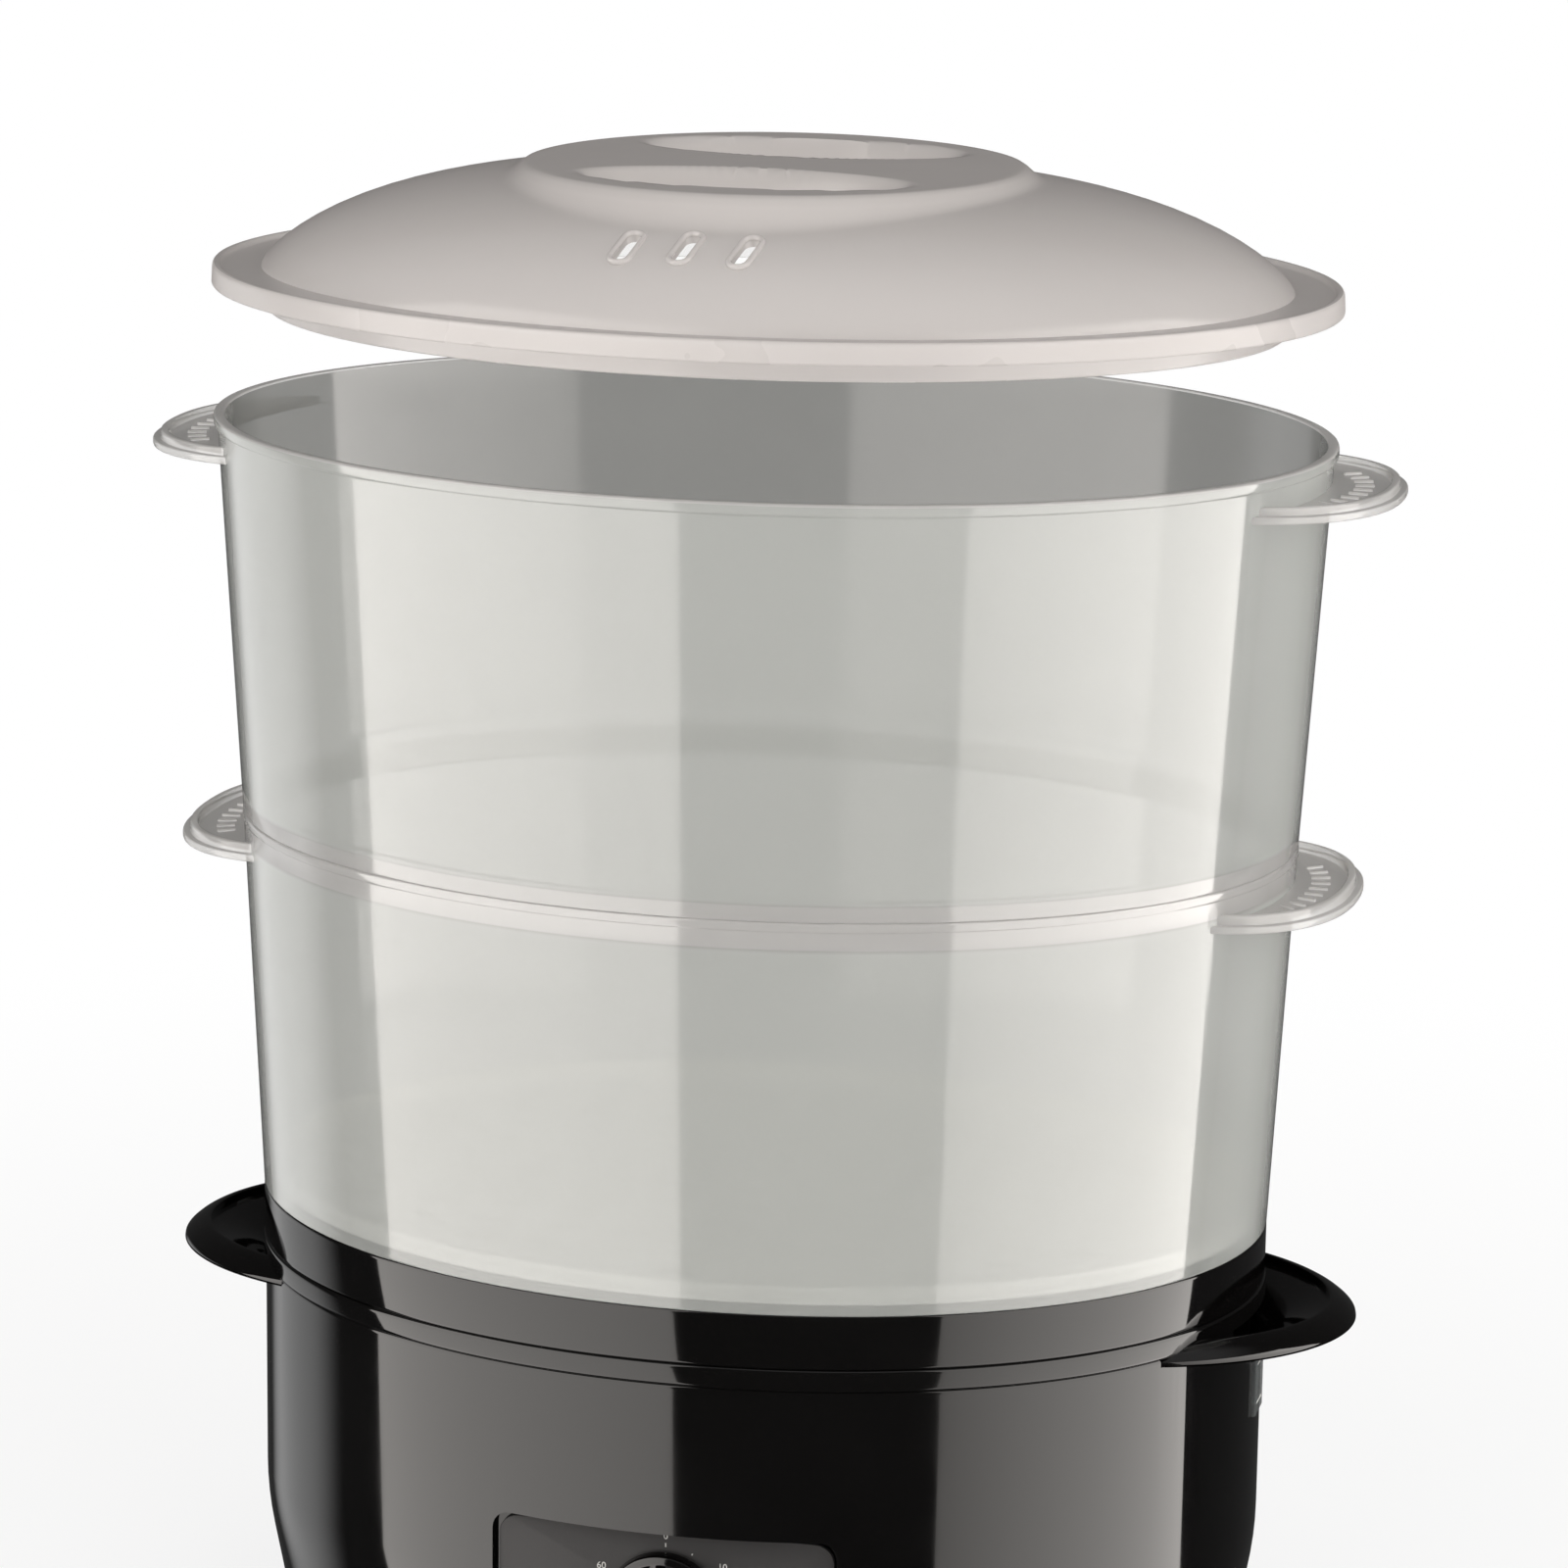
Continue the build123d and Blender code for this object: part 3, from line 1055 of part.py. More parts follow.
def terminal_foot(index):
    """Lower end of a connection pin of the heating tube."""
    way = -1 if index == 0 else 1
    angle = radians(TUBE_START + index * TUBE_SWEEP + way * degrees_of(TERMINAL_CAP + FIT, TUBE_RING_R))
    return TUBE_RING_R * cos(angle), TUBE_RING_R * sin(angle), Z_TUBE - TERMINAL_LENGTH


def earth_tag_end():
    return TAG_LENGTH - 2 * TAG_HEEL, CLAMP_BOLT_R, Z_PLATE - CLAMP_THICK - SCREW_HEAD - TAG_THICK


def make_earth_tag():
    """Tag on the rear clamp screw's head."""
    z_high = Z_PLATE - CLAMP_THICK - SCREW_HEAD
    return block(
        (-TAG_HEEL, TAG_LENGTH - TAG_HEEL),
        (CLAMP_BOLT_R - TAG_WIDTH / 2, CLAMP_BOLT_R + TAG_WIDTH / 2),
        (z_high - TAG_THICK, z_high),
    )


NODES = {
    "lid": make_lid,
    "upper_bowl": make_upper_bowl,
    "lower_bowl": make_lower_bowl,
    "lower_tray": make_lower_tray,
    "juice_collector": make_juice_collector,
    "steam_ring": make_steam_ring,
    "base_housing": make_base_housing,
    "base_body": make_base_body,
    "bottom_cover": make_bottom_cover,
    "rubber_feet": make_rubber_feet,
    "cover_screws": make_cover_screws,
    "heating_plate": make_heating_plate,
    "element_seal": make_element_seal,
    "element_clamp": make_element_clamp,
    "clamp_screws": make_clamp_screws,
    "heating_tube": make_heating_tube,
    "element_terminals": make_element_terminals,
    "thermostat": make_thermostat,
    "thermostat_clip": make_thermostat_clip,
    "thermal_fuse": make_thermal_fuse,
    "timer_case": make_timer_case,
    "timer_back_plate": make_timer_back_plate,
    "timer_shaft": make_timer_shaft,
    "timer_main_wheel": make_timer_main_wheel,
    "escape_pinion": make_escape_pinion,
    "timer_mainspring": make_timer_mainspring,
    "timer_bell": make_timer_bell,
    "bell_hammer": make_bell_hammer,
    "timer_switch": make_timer_switch,
    "timer_screws": make_timer_screws,
    "timer_knob": make_timer_knob,
    "control_fascia": make_control_fascia,
    "lamp_lens": make_lamp_lens,
    "pilot_lamp": make_pilot_lamp,
    "water_window": make_water_window,
    "cord_gland": make_cord_gland,
    "terminal_block": make_terminal_block,
    "live_wire": make_live_wire,
    "neutral_wire": make_neutral_wire,
    "switch_wire": make_switch_wire,
    "earth_wire": make_earth_wire,
    "earth_tag": make_earth_tag,
}

os.makedirs("parts", exist_ok=True)
for name, make in NODES.items():
    export_step(make(), f"parts/{name}.step")
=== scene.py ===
"""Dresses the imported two-tier food steamer with smooth moulded shells, finishes, a stage and a camera."""

from collections import namedtuple
from math import atan2, cos, hypot, pi, radians, sin

import bpy
from mathutils import Matrix, Vector


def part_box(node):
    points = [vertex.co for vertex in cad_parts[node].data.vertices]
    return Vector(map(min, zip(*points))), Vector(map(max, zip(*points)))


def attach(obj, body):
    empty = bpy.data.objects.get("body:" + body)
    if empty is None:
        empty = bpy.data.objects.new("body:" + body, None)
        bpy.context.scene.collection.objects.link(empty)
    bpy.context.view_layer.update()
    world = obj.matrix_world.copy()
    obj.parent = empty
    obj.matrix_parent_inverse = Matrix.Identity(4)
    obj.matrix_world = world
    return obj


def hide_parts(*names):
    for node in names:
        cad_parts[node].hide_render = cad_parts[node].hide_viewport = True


bl_info = {
    "name": "Oval Food Steamer",
    "version": (1, 0, 0),
    "blender": (4, 5, 0),
    "location": "View3D > Sidebar > Steamer",
    "description": "Smooth moulded shells, finishes and a stage for a two-tier electric food steamer",
    "category": "Object",
}

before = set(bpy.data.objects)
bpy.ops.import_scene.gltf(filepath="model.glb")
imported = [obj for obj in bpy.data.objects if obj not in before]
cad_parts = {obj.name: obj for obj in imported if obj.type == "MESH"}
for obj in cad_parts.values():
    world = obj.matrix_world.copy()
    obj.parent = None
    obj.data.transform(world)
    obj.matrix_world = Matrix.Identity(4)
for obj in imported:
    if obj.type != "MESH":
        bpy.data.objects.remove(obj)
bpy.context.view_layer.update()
MM = 0.001


def low(node):
    """Lowest corner of a node, in millimetres."""
    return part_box(node)[0] / MM


def high(node):
    """Highest corner of a node, in millimetres."""
    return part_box(node)[1] / MM


def middle(node):
    """Middle of a node, in millimetres."""
    return (low(node) + high(node)) / 2


# ---- heights, in millimetres ----
Z_RIM = high("upper_bowl").z
Z_UPPER = high("lower_bowl").z            # seat of the upper bowl
Z_LOWER = high("juice_collector").z       # seat of the lower bowl
Z_COLLAR = high("base_housing").z         # seat of the collector
Z_RING = Z_COLLAR - 5.9                   # foot of the housing's ring
Z_SCOOP_LIP = Z_COLLAR - 3.1
Z_SCOOP_FOOT = Z_COLLAR - 8.1
Z_TANK = low("base_housing").z + 54.0     # underside of the tank, on its columns
Z_BODY = low("base_body").z
Z_STRAIGHT = Z_BODY + 26.0                # where the casing's upright wall starts
Z_SKIRT = low("lid").z
Z_LID = Z_SKIRT + 6.0                     # lower edge of the lid's flange
Z_LID_TOP = Z_LID + 5.8
Z_PLATE = Z_LID_TOP - 1.2                 # foot of the lid's dome
Z_CROWN = high("lid").z

# ---- half lengths of the ovals, in millimetres ----
LID_HALF = high("lid").x
DOME_SETBACK = 13.3
SKIRT_SETBACK = 14.8
RIM_WALL_HALF = 151.1
BAND_HALF = 144.7
RING_HALF = 139.9
COLLAR_HALF = 139.5
BODY_HALF = 139.2
BODY_FOOT_HALF = 134.0

SEGMENTS = 256
ROUND = 48                                # segments of small round pieces
TO_FRONT = (90, 0, 0)                     # turns a piece's +Z to the front


# ---- what a user would change ----
def length(name, text, default):
    """A length property in metres from a default in millimetres."""
    return bpy.props.FloatProperty(name=name, description=text, default=default * MM, unit="LENGTH", precision=4)


def colour(name, text, default):
    """A colour property."""
    return bpy.props.FloatVectorProperty(
        name=name, description=text, default=default, size=3, min=0.0, max=1.0, subtype="COLOR"
    )


class SteamerSizes(bpy.types.PropertyGroup):
    """Sizes of the moulded details."""

    aspect: bpy.props.FloatProperty(
        name="Oval aspect", description="Short over long half-axis of the ovals", default=0.77, subtype="FACTOR"
    )
    wall: length("Bowl wall", "Wall thickness of the bowls and the lid", 2.2)
    nest_gap: length("Nesting gap", "Play of a bowl's foot in the piece below", 0.8)
    foot_depth: length("Foot depth", "How deep a bowl's foot reaches down", 7.2)
    edge_round: length("Edge rounding", "Rounding of the moulded edges", 0.6)
    ear_lip: length("Ear lip", "Width of the raised lip of an ear", 2.2)
    dome_height: length("Dome height", "Height of the lid's dome above its plate", 29.2)
    crown_foot: length("Crown foot", "Radius of the lid's crown at its foot", 76.0)
    crown_top: length("Crown top", "Radius of the lid's crown at its top", 67.0)
    vent_pitch: length("Vent pitch", "Distance between the steam vents", 15.5)
    scoop_round: length("Scoop rounding", "Rounding of the fill scoop's lip", 1.2)
    knob_radius: length("Knob radius", "Radius of the timer knob's skirt", 16.0)


class SteamerColours(bpy.types.PropertyGroup):
    """Colours of the finishes."""

    bowl: colour("Bowl", "Milky clear plastic of the bowls", (0.60, 0.61, 0.58))
    bowl_edge: colour("Bowl edge", "Thick rims, ledges and lips of the bowls", (0.545, 0.532, 0.516))
    # painted shade: the inner skin has a darker colour than the plastic outside, standing in for the shade inside the
    # bowls
    bowl_inside: colour("Bowl inside", "Shaded inner skin of the bowls", (0.21, 0.212, 0.20))
    lid: colour("Lid", "Frosted plastic of the lid", (0.55, 0.517, 0.50))
    tray: colour("Tray", "Milky plastic of the tray", (0.50, 0.50, 0.47))
    black: colour("Gloss black", "Polished plastic of the base", (0.002, 0.0018, 0.0017))
    satin: colour("Satin black", "Textured plastic under and inside the base", (0.020, 0.019, 0.019))
    rubber: colour("Rubber", "Feet and cord bush", (0.025, 0.025, 0.025))
    seal: colour("Silicone", "Seal of the heating plate", (0.45, 0.12, 0.07))
    steel: colour("Steel", "Plated and stainless steel", (0.60, 0.59, 0.57))
    alloy: colour("Alloy", "Cast element tube", (0.46, 0.46, 0.45))
    brass: colour("Brass", "Wheels, pins and tag", (0.66, 0.48, 0.20))
    grey: colour("Grey plastic", "Switch, terminal block and fuse", (0.48, 0.48, 0.45))
    lens: colour("Lens", "Pilot lamp's lens", (0.50, 0.02, 0.015))
    gauge: colour("Gauge", "Clear plastic of the gauge window and the lamp", (0.15, 0.16, 0.16))
    print_ink: colour("Print", "Printed dial", (0.70, 0.69, 0.66))
    live: colour("Live wire", "Insulation of the live wires", (0.17, 0.07, 0.03))
    neutral: colour("Neutral wire", "Insulation of the neutral wire", (0.03, 0.11, 0.38))
    earth: colour("Earth wire", "Insulation of the earth wire", (0.07, 0.30, 0.06))


def sizes():
    return bpy.context.scene.steamer_sizes


def colours():
    return bpy.context.scene.steamer_colours


def mm(name):
    """A size property in millimetres."""
    return getattr(sizes(), name) / MM


# ---- modelling with rings ----
def clear_selection():
    if bpy.context.object and bpy.context.object.mode != "OBJECT":
        bpy.ops.object.mode_set(mode="OBJECT")
    bpy.ops.object.select_all(action="DESELECT")


def only(piece):
    """Makes the piece the only selected and active one."""
    clear_selection()
    piece.select_set(True)
    bpy.context.view_layer.objects.active = piece
    return piece


def oval(half, inset, z):
    """Ring of the oval family drawn in by inset: half-axes and height."""
    return (half - inset, half * sizes().aspect - inset, z)


def rounded(corners, steps=4, closed=True):
    """Rings through a profile whose corners, each (ring, radius), are rounded off."""
    rings = []
    count = len(corners)
    for index, (corner, radius) in enumerate(corners):
        corner = Vector(corner)
        if radius <= 0 or (not closed and index in (0, count - 1)):
            rings.append(tuple(corner))
            continue
        before = Vector(corners[index - 1][0]) - corner
        after = Vector(corners[(index + 1) % count][0]) - corner
        start = corner + before * min(0.45, radius / before.length)
        end = corner + after * min(0.45, radius / after.length)
        for step in range(steps + 1):
            t = step / steps
            rings.append(tuple(start * (1 - t) ** 2 + corner * (2 * t * (1 - t)) + end * t ** 2))
    return rings


def turned(corners, closed=False):
    """Round rings through a profile whose corners are (radius, height, rounding)."""
    return rounded([((radius, radius, z), rounding) for radius, z, rounding in corners], closed=closed)


def ring_mesh(name, rings, segments=SEGMENTS):
    """Starts a mesh with the first ring and extrudes it through the others; stays in edit mode."""
    clear_selection()
    bpy.ops.mesh.primitive_circle_add(vertices=segments, radius=MM)
    piece = bpy.context.object
    piece.name = name
    bpy.ops.object.mode_set(mode="EDIT")
    bpy.ops.mesh.select_mode(type="VERT")
    bpy.ops.mesh.select_all(action="SELECT")
    half_x, half_y, z = rings[0]
    bpy.ops.transform.resize(value=(half_x, half_y, 1), center_override=(0, 0, 0))
    bpy.ops.transform.translate(value=(0, 0, z * MM))
    for new_x, new_y, new_z in rings[1:]:
        bpy.ops.mesh.extrude_edges_move(TRANSFORM_OT_translate={"value": (0, 0, (new_z - z) * MM)})
        bpy.ops.transform.resize(value=(new_x / half_x, new_y / half_y, 1), center_override=(0, 0, new_z * MM))
        half_x, half_y, z = new_x, new_y, new_z
    return piece


def select_open_edges():
    bpy.ops.mesh.select_all(action="DESELECT")
    bpy.ops.mesh.select_mode(type="EDGE")
    bpy.ops.mesh.select_non_manifold()


def face_outwards():
    """Turns all faces outwards and leaves edit mode."""
    bpy.ops.mesh.select_all(action="SELECT")
    bpy.ops.mesh.normals_make_consistent(inside=False)
    bpy.ops.object.mode_set(mode="OBJECT")


def hoop(name, rings, segments=SEGMENTS):
    """Closed ring-shaped solid: the last ring is bridged back to the first."""
    piece = ring_mesh(name, rings, segments)
    select_open_edges()
    bpy.ops.mesh.bridge_edge_loops()
    face_outwards()
    return piece


def spindle(name, rings, segments=SEGMENTS):
    """Closed solid from its lowest ring to its highest, capped by a face at both ends."""
    piece = ring_mesh(name, rings, segments)
    bpy.ops.mesh.edge_face_add()
    select_open_edges()
    bpy.ops.mesh.edge_face_add()
    face_outwards()
    return piece


def place(piece, location=(0, 0, 0), rotation=(0, 0, 0)):
    """Turns and moves a piece, with its place then in its mesh. Location in millimetres, rotation in degrees."""
    only(piece)
    piece.rotation_euler = [radians(angle) for angle in rotation]
    piece.location = [value * MM for value in location]
    bpy.ops.object.transform_apply()
    return piece


def mirrored_x(piece):
    """Copy of a piece at the other end of the long axis."""
    only(piece)
    bpy.ops.object.duplicate()
    copy = bpy.context.object
    copy.scale = (-1, 1, 1)
    bpy.ops.object.transform_apply()
    bpy.ops.object.mode_set(mode="EDIT")
    face_outwards()
    return copy


def carve(piece, tool, operation="DIFFERENCE"):
    """Boolean of a piece with a tool, which is used up."""
    only(piece)
    bpy.ops.object.modifier_add(type="BOOLEAN")
    cut = piece.modifiers[-1]
    cut.operation = operation
    cut.solver = "EXACT"
    cut.object = tool
    bpy.ops.object.modifier_apply(modifier=cut.name)
    bpy.data.objects.remove(tool)
    return piece


def carve_both(piece, tool, operation="DIFFERENCE"):
    """Boolean of a piece with a tool at the +X end and with the tool's copy at the other end."""
    copy = mirrored_x(tool)
    carve(piece, tool, operation)
    return carve(piece, copy, operation)


def drill(piece, x, y, z, radius, reach=5.0):
    """Round hole along Y through a piece, reaching as far to both sides of y."""
    bit = spindle("bit", [(radius, radius, -reach), (radius, radius, reach)], ROUND)
    return carve(piece, place(bit, (x, y, z), TO_FRONT))


def joined(piece, *others):
    """One object from several closed shells."""
    only(piece)
    for other in others:
        other.select_set(True)
    bpy.ops.object.join()
    return piece


def slab(name, x, y, z, corner=0.0, rounding=0.0):
    """Block between pairs of limits, with its corners along Y rounded and its edges eased."""
    clear_selection()
    centre = [(a + b) / 2 * MM for a, b in (x, y, z)]
    bpy.ops.mesh.primitive_cube_add(size=MM, location=centre, scale=[abs(b - a) for a, b in (x, y, z)])
    piece = bpy.context.object
    piece.name = name
    bpy.ops.object.transform_apply()
    if corner:
        bpy.ops.object.mode_set(mode="EDIT")
        bpy.ops.mesh.select_all(action="DESELECT")
        bpy.ops.object.mode_set(mode="OBJECT")
        for edge in piece.data.edges:
            a, b = (piece.data.vertices[i].co for i in edge.vertices)
            edge.select = abs(a.x - b.x) < 1e-7 and abs(a.z - b.z) < 1e-7
        bpy.ops.object.mode_set(mode="EDIT")
        bpy.ops.mesh.select_mode(type="EDGE")
        bpy.ops.mesh.bevel(offset=corner * MM, segments=6)
        bpy.ops.object.mode_set(mode="OBJECT")
    if rounding:
        ease_edges(piece, rounding)
    return piece


def ease_edges(piece, width):
    """Rounds the sharp edges of a piece."""
    only(piece)
    bpy.ops.object.modifier_add(type="BEVEL")
    bevel = piece.modifiers[-1]
    bevel.width = width * MM
    bevel.segments = 2
    bevel.limit_method = "ANGLE"
    bevel.angle_limit = radians(30)
    bpy.ops.object.modifier_apply(modifier=bevel.name)


def paint(piece, finish_name):
    """Gives a piece one finish all over."""
    piece.data.materials.clear()
    piece.data.materials.append(surface(finish_name))


def finish(piece, body, finish_name, replaces=(), angle=35):
    """Smooths, paints and hangs a piece on its body."""
    only(piece)
    bpy.ops.object.shade_smooth_by_angle(angle=radians(angle))
    paint(piece, finish_name)
    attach(piece, body)
    if replaces:
        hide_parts(*replaces)
    return piece


# ---- shader nodes ----
def feed(socket, value):
    """Sets a socket to a value, or links it from another socket."""
    if isinstance(value, bpy.types.NodeSocket):
        socket.id_data.links.new(value, socket)
    else:
        socket.default_value = value


def add(tree, kind, group=None, **inputs):
    """Adds a shader node and feeds its inputs; an underscore in an input's name stands for a space."""
    node = tree.nodes.new("ShaderNode" + kind)
    if group:
        node.node_tree = group
    for name, value in inputs.items():
        feed(node.inputs[name.replace("_", " ")], value)
    return node


def calculate(tree, operation, *values, kind="Math", result="Value"):
    """Result of a math node."""
    node = add(tree, kind)
    node.operation = operation
    for socket, value in zip(node.inputs, values):
        feed(socket, value)
    return node.outputs[result]


def ramp(tree, value, start=0.0, end=1.0, least=0.0, most=1.0, smooth=False):
    """Value carried over from the range start to end to the range least to most."""
    node = add(tree, "MapRange", Value=value, From_Min=start, From_Max=end, To_Min=least, To_Max=most)
    if smooth:
        node.interpolation_type = "SMOOTHSTEP"
    return node.outputs["Result"]


def blend(tree, factor, first, second):
    """Colour between two colours, each a value or a socket."""
    node = tree.nodes.new("ShaderNodeMix")
    node.data_type = "RGBA"
    for name, value in (("Factor", factor), ("A", first), ("B", second)):
        feed(node.inputs[name], value)
    return node.outputs["Result"]


def fresh_tree(owner):
    """Empty node tree of a material or a world."""
    owner.use_nodes = True
    owner.node_tree.nodes.clear()
    return owner.node_tree


def effect_group(name, scales, build):
    """Shared node group, made on first use: build takes its tree and inputs and returns its outputs by name."""
    found = bpy.data.node_groups.get(name)
    if found:
        return found
    tree = bpy.data.node_groups.new(name, "ShaderNodeTree")
    tree.interface.new_socket("Vector", in_out="INPUT", socket_type="NodeSocketVector")
    for label, default in scales.items():
        tree.interface.new_socket(label, in_out="INPUT", socket_type="NodeSocketFloat").default_value = default
    results = build(tree, tree.nodes.new("NodeGroupInput").outputs)
    for label in results:
        tree.interface.new_socket(label, in_out="OUTPUT", socket_type="NodeSocketFloat")
    out = tree.nodes.new("NodeGroupOutput")
    for label, value in results.items():
        feed(out.inputs[label], value)
    return tree


def moulded_skin():
    """Fine skin of a moulding: a height for its grain and a mask for broad, faint unevenness."""

    def build(tree, given):
        grain = add(tree, "TexNoise", Vector=given["Vector"], Scale=given["Grain"], Detail=3.0)
        broad = add(tree, "TexNoise", Vector=given["Vector"], Scale=given["Broad"], Detail=4.0, Roughness=0.55)
        return {"Height": grain.outputs["Fac"], "Mask": ramp(tree, broad.outputs["Fac"], 0.32, 0.68)}

    return effect_group("moulded_skin", {"Grain": 900.0, "Broad": 14.0}, build)


def hairlines():
    """Fine drawn lines along X, with Grain across them and Broad along them: a height and a mask."""

    def build(tree, given):
        scale = add(tree, "CombineXYZ", X=given["Broad"], Y=given["Grain"], Z=given["Grain"]).outputs["Vector"]
        spot = calculate(tree, "MULTIPLY", given["Vector"], scale, kind="VectorMath", result="Vector")
        lines = add(tree, "TexNoise", Vector=spot, Scale=1.0, Detail=2.0).outputs["Fac"]
        return {"Height": lines, "Mask": lines}

    return effect_group("hairlines", {"Grain": 2600.0, "Broad": 40.0}, build)


def nested_band():
    """Mask of the height over which a bowl's foot stands in the bowl below, soft at both ends."""

    def build(tree, given):
        z = add(tree, "SeparateXYZ", Vector=given["Vector"]).outputs["Z"]
        ends = [
            ramp(tree, z, (Z_UPPER + start) * MM, (Z_UPPER + end) * MM, smooth=True)
            for start, end in ((-8.4, -6.8), (5.4, 3.9))
        ]
        return {"Mask": calculate(tree, "MULTIPLY", *ends)}

    return effect_group("nested_band", {}, build)


# ---- finishes ----
NESTED_TONE, NESTED_OPACITY = 0.88, 0.80


def darker(value, share):
    return tuple(channel * share for channel in value)


def see_through(tree, shader, facing, edge, shade=1.0, doubled=None):
    """Opacity of a skin seen square on and edge on; the back of the skin doesn't show.

    Shade is the share of that opacity that the skin has for light and reflections; where the mask
    doubled is 1, two walls lie behind one another and little shows through."""
    weight = add(tree, "LayerWeight", Blend=0.5)
    opacity = ramp(tree, weight.outputs["Facing"], 0.45, 0.75, facing, edge)
    if doubled:
        opacity = calculate(tree, "MAXIMUM", calculate(tree, "MULTIPLY", doubled, NESTED_OPACITY), opacity)
    front = calculate(tree, "SUBTRACT", 1.0, add(tree, "NewGeometry").outputs["Backfacing"])
    passing = ramp(tree, add(tree, "LightPath").outputs["Is Camera Ray"], least=shade)
    shown = calculate(tree, "MULTIPLY", opacity, front)
    feed(shader.inputs["Alpha"], calculate(tree, "MULTIPLY", shown, passing))


def painted(
    material, colour, shade, rough, bump, tone=1.0, grain=900.0, broad=14.0, depth=0.02,
    effect=moulded_skin, nested=False, opacity=None, **values
):
    """Principled surface in a colour property times a tone, which the effect's mask carries to the share shade; the
    tone makes lighter copies of a colour as painted light and darker ones as painted shade.

    The mask also carries the roughness between two values. Bump and depth, in millimetres, go with the
    effect's height. Opacity is what see_through takes, and the other values are inputs of the shader."""
    tree = fresh_tree(material)
    # a tone above 1 paints light, a tone below 1 paints shade
    base = darker(getattr(colours(), colour), tone)
    spot = add(tree, "TexCoord").outputs["Object"]
    texture = add(tree, "Group", effect(), Vector=spot, Grain=grain, Broad=broad).outputs
    tint = blend(tree, texture["Mask"], (*base, 1), (*darker(base, shade), 1))
    doubled = None
    if nested:
        doubled = add(tree, "Group", nested_band(), Vector=spot).outputs["Mask"]
        tint = blend(tree, doubled, tint, (*darker(colours().bowl_edge, NESTED_TONE), 1))
    sheen = ramp(tree, texture["Mask"], least=rough[0], most=rough[1])
    relief = add(tree, "Bump", Strength=bump, Distance=depth * MM, Height=texture["Height"]).outputs["Normal"]
    shader = add(tree, "BsdfPrincipled", Base_Color=tint, Roughness=sheen, Normal=relief, **values)
    if opacity:
        see_through(tree, shader, *opacity, doubled=doubled)
    add(tree, "OutputMaterial", Surface=shader.outputs["BSDF"])
    return material


MILKY = dict(bump=0.08, grain=700.0)
FROSTED = dict(colour="lid", shade=0.95, bump=0.15, grain=1200.0, broad=8.0)
WIRE = dict(shade=0.8, rough=(0.34, 0.46), bump=0.2, grain=500.0, broad=120.0)
FINISHES = {
    "milky_bowl": dict(
        MILKY, colour="bowl", shade=0.94, rough=(0.06, 0.10), broad=9.0, nested=True, opacity=(0.56, 0.97),
        IOR=1.6, Specular_IOR_Level=1.0, Coat_Weight=0.9, Coat_Roughness=0.05,
    ),
    "milky_bowl_edge": dict(
        MILKY, colour="bowl_edge", shade=0.93, rough=(0.08, 0.14), broad=30.0, opacity=(0.74, 0.97, 0.6),
        Specular_IOR_Level=0.8,
    ),
    # painted shade: the edge colour made darker for the dish on top of each ear
    "milky_ear_dish": dict(
        MILKY, colour="bowl_edge", tone=0.85, shade=0.92, rough=(0.08, 0.14), broad=30.0, opacity=(0.90, 0.97, 0.6),
    ),
    # painted shade: darker, more opaque inner skin that stands in for the shade inside the bowls
    "milky_bowl_inside": dict(
        MILKY, colour="bowl_inside", shade=0.9, rough=(0.07, 0.12), broad=9.0, opacity=(0.90, 0.96, 0.35),
        Specular_IOR_Level=0.9,
    ),
    "frosted_cover": dict(FROSTED, rough=(0.19, 0.26), opacity=(0.96, 1.0, 0.6), Specular_IOR_Level=0.55),
    # painted light: lighter copies of the lid colour, for the flange's side and the faces turned down, and for the
    # inner skirt seen through the vents
    "frosted_cover_edge": dict(FROSTED, tone=1.06, rough=(0.24, 0.32), opacity=(0.96, 1.0, 0.4)),
    "frosted_cover_skirt": dict(FROSTED, tone=1.06, rough=(0.24, 0.32), opacity=(0.25, 0.5, 0.4)),
    "milky_tray": dict(colour="tray", shade=0.94, rough=(0.18, 0.26), bump=0.15, opacity=(0.9, 1.0)),
    "gloss_black": dict(
        colour="black", shade=1.5, rough=(0.045, 0.085), bump=0.05, grain=160.0, broad=22.0,
        Coat_Weight=0.35, Coat_Roughness=0.03,
    ),
    "satin_black": dict(colour="satin", shade=1.35, rough=(0.42, 0.52), bump=0.55, grain=1500.0, depth=0.05),
    "matt_rubber": dict(colour="rubber", shade=1.5, rough=(0.68, 0.82), bump=0.5, grain=1800.0, depth=0.05),
    "soft_silicone": dict(colour="seal", shade=0.85, rough=(0.50, 0.62), bump=0.3),
    "plated_steel": dict(
        colour="steel", shade=0.82, rough=(0.22, 0.40), bump=0.25, grain=2600.0, broad=40.0, depth=0.01,
        effect=hairlines, Metallic=1.0,
    ),
    "cast_alloy": dict(
        colour="alloy", shade=0.75, rough=(0.42, 0.58), bump=0.5, grain=1100.0, broad=60.0, depth=0.06, Metallic=1.0,
    ),
    "turned_brass": dict(
        colour="brass", shade=0.72, rough=(0.20, 0.36), bump=0.2, grain=1400.0, broad=90.0, Metallic=1.0,
    ),
    "grey_moulding": dict(colour="grey", shade=0.88, rough=(0.40, 0.52), bump=0.35),
    "ruby_lens": dict(
        colour="lens", shade=0.7, rough=(0.06, 0.12), bump=0.05, Transmission_Weight=0.55, Coat_Weight=0.4,
    ),
    "clear_gauge": dict(colour="gauge", shade=0.8125, rough=(0.05, 0.10), bump=0.05, opacity=(0.6, 0.9)),
    "dial_print": dict(colour="print_ink", shade=0.85, rough=(0.40, 0.50), bump=0.2),
    "live_skin": dict(WIRE, colour="live"),
    "neutral_skin": dict(WIRE, colour="neutral"),
    "earth_skin": dict(WIRE, colour="earth"),
}

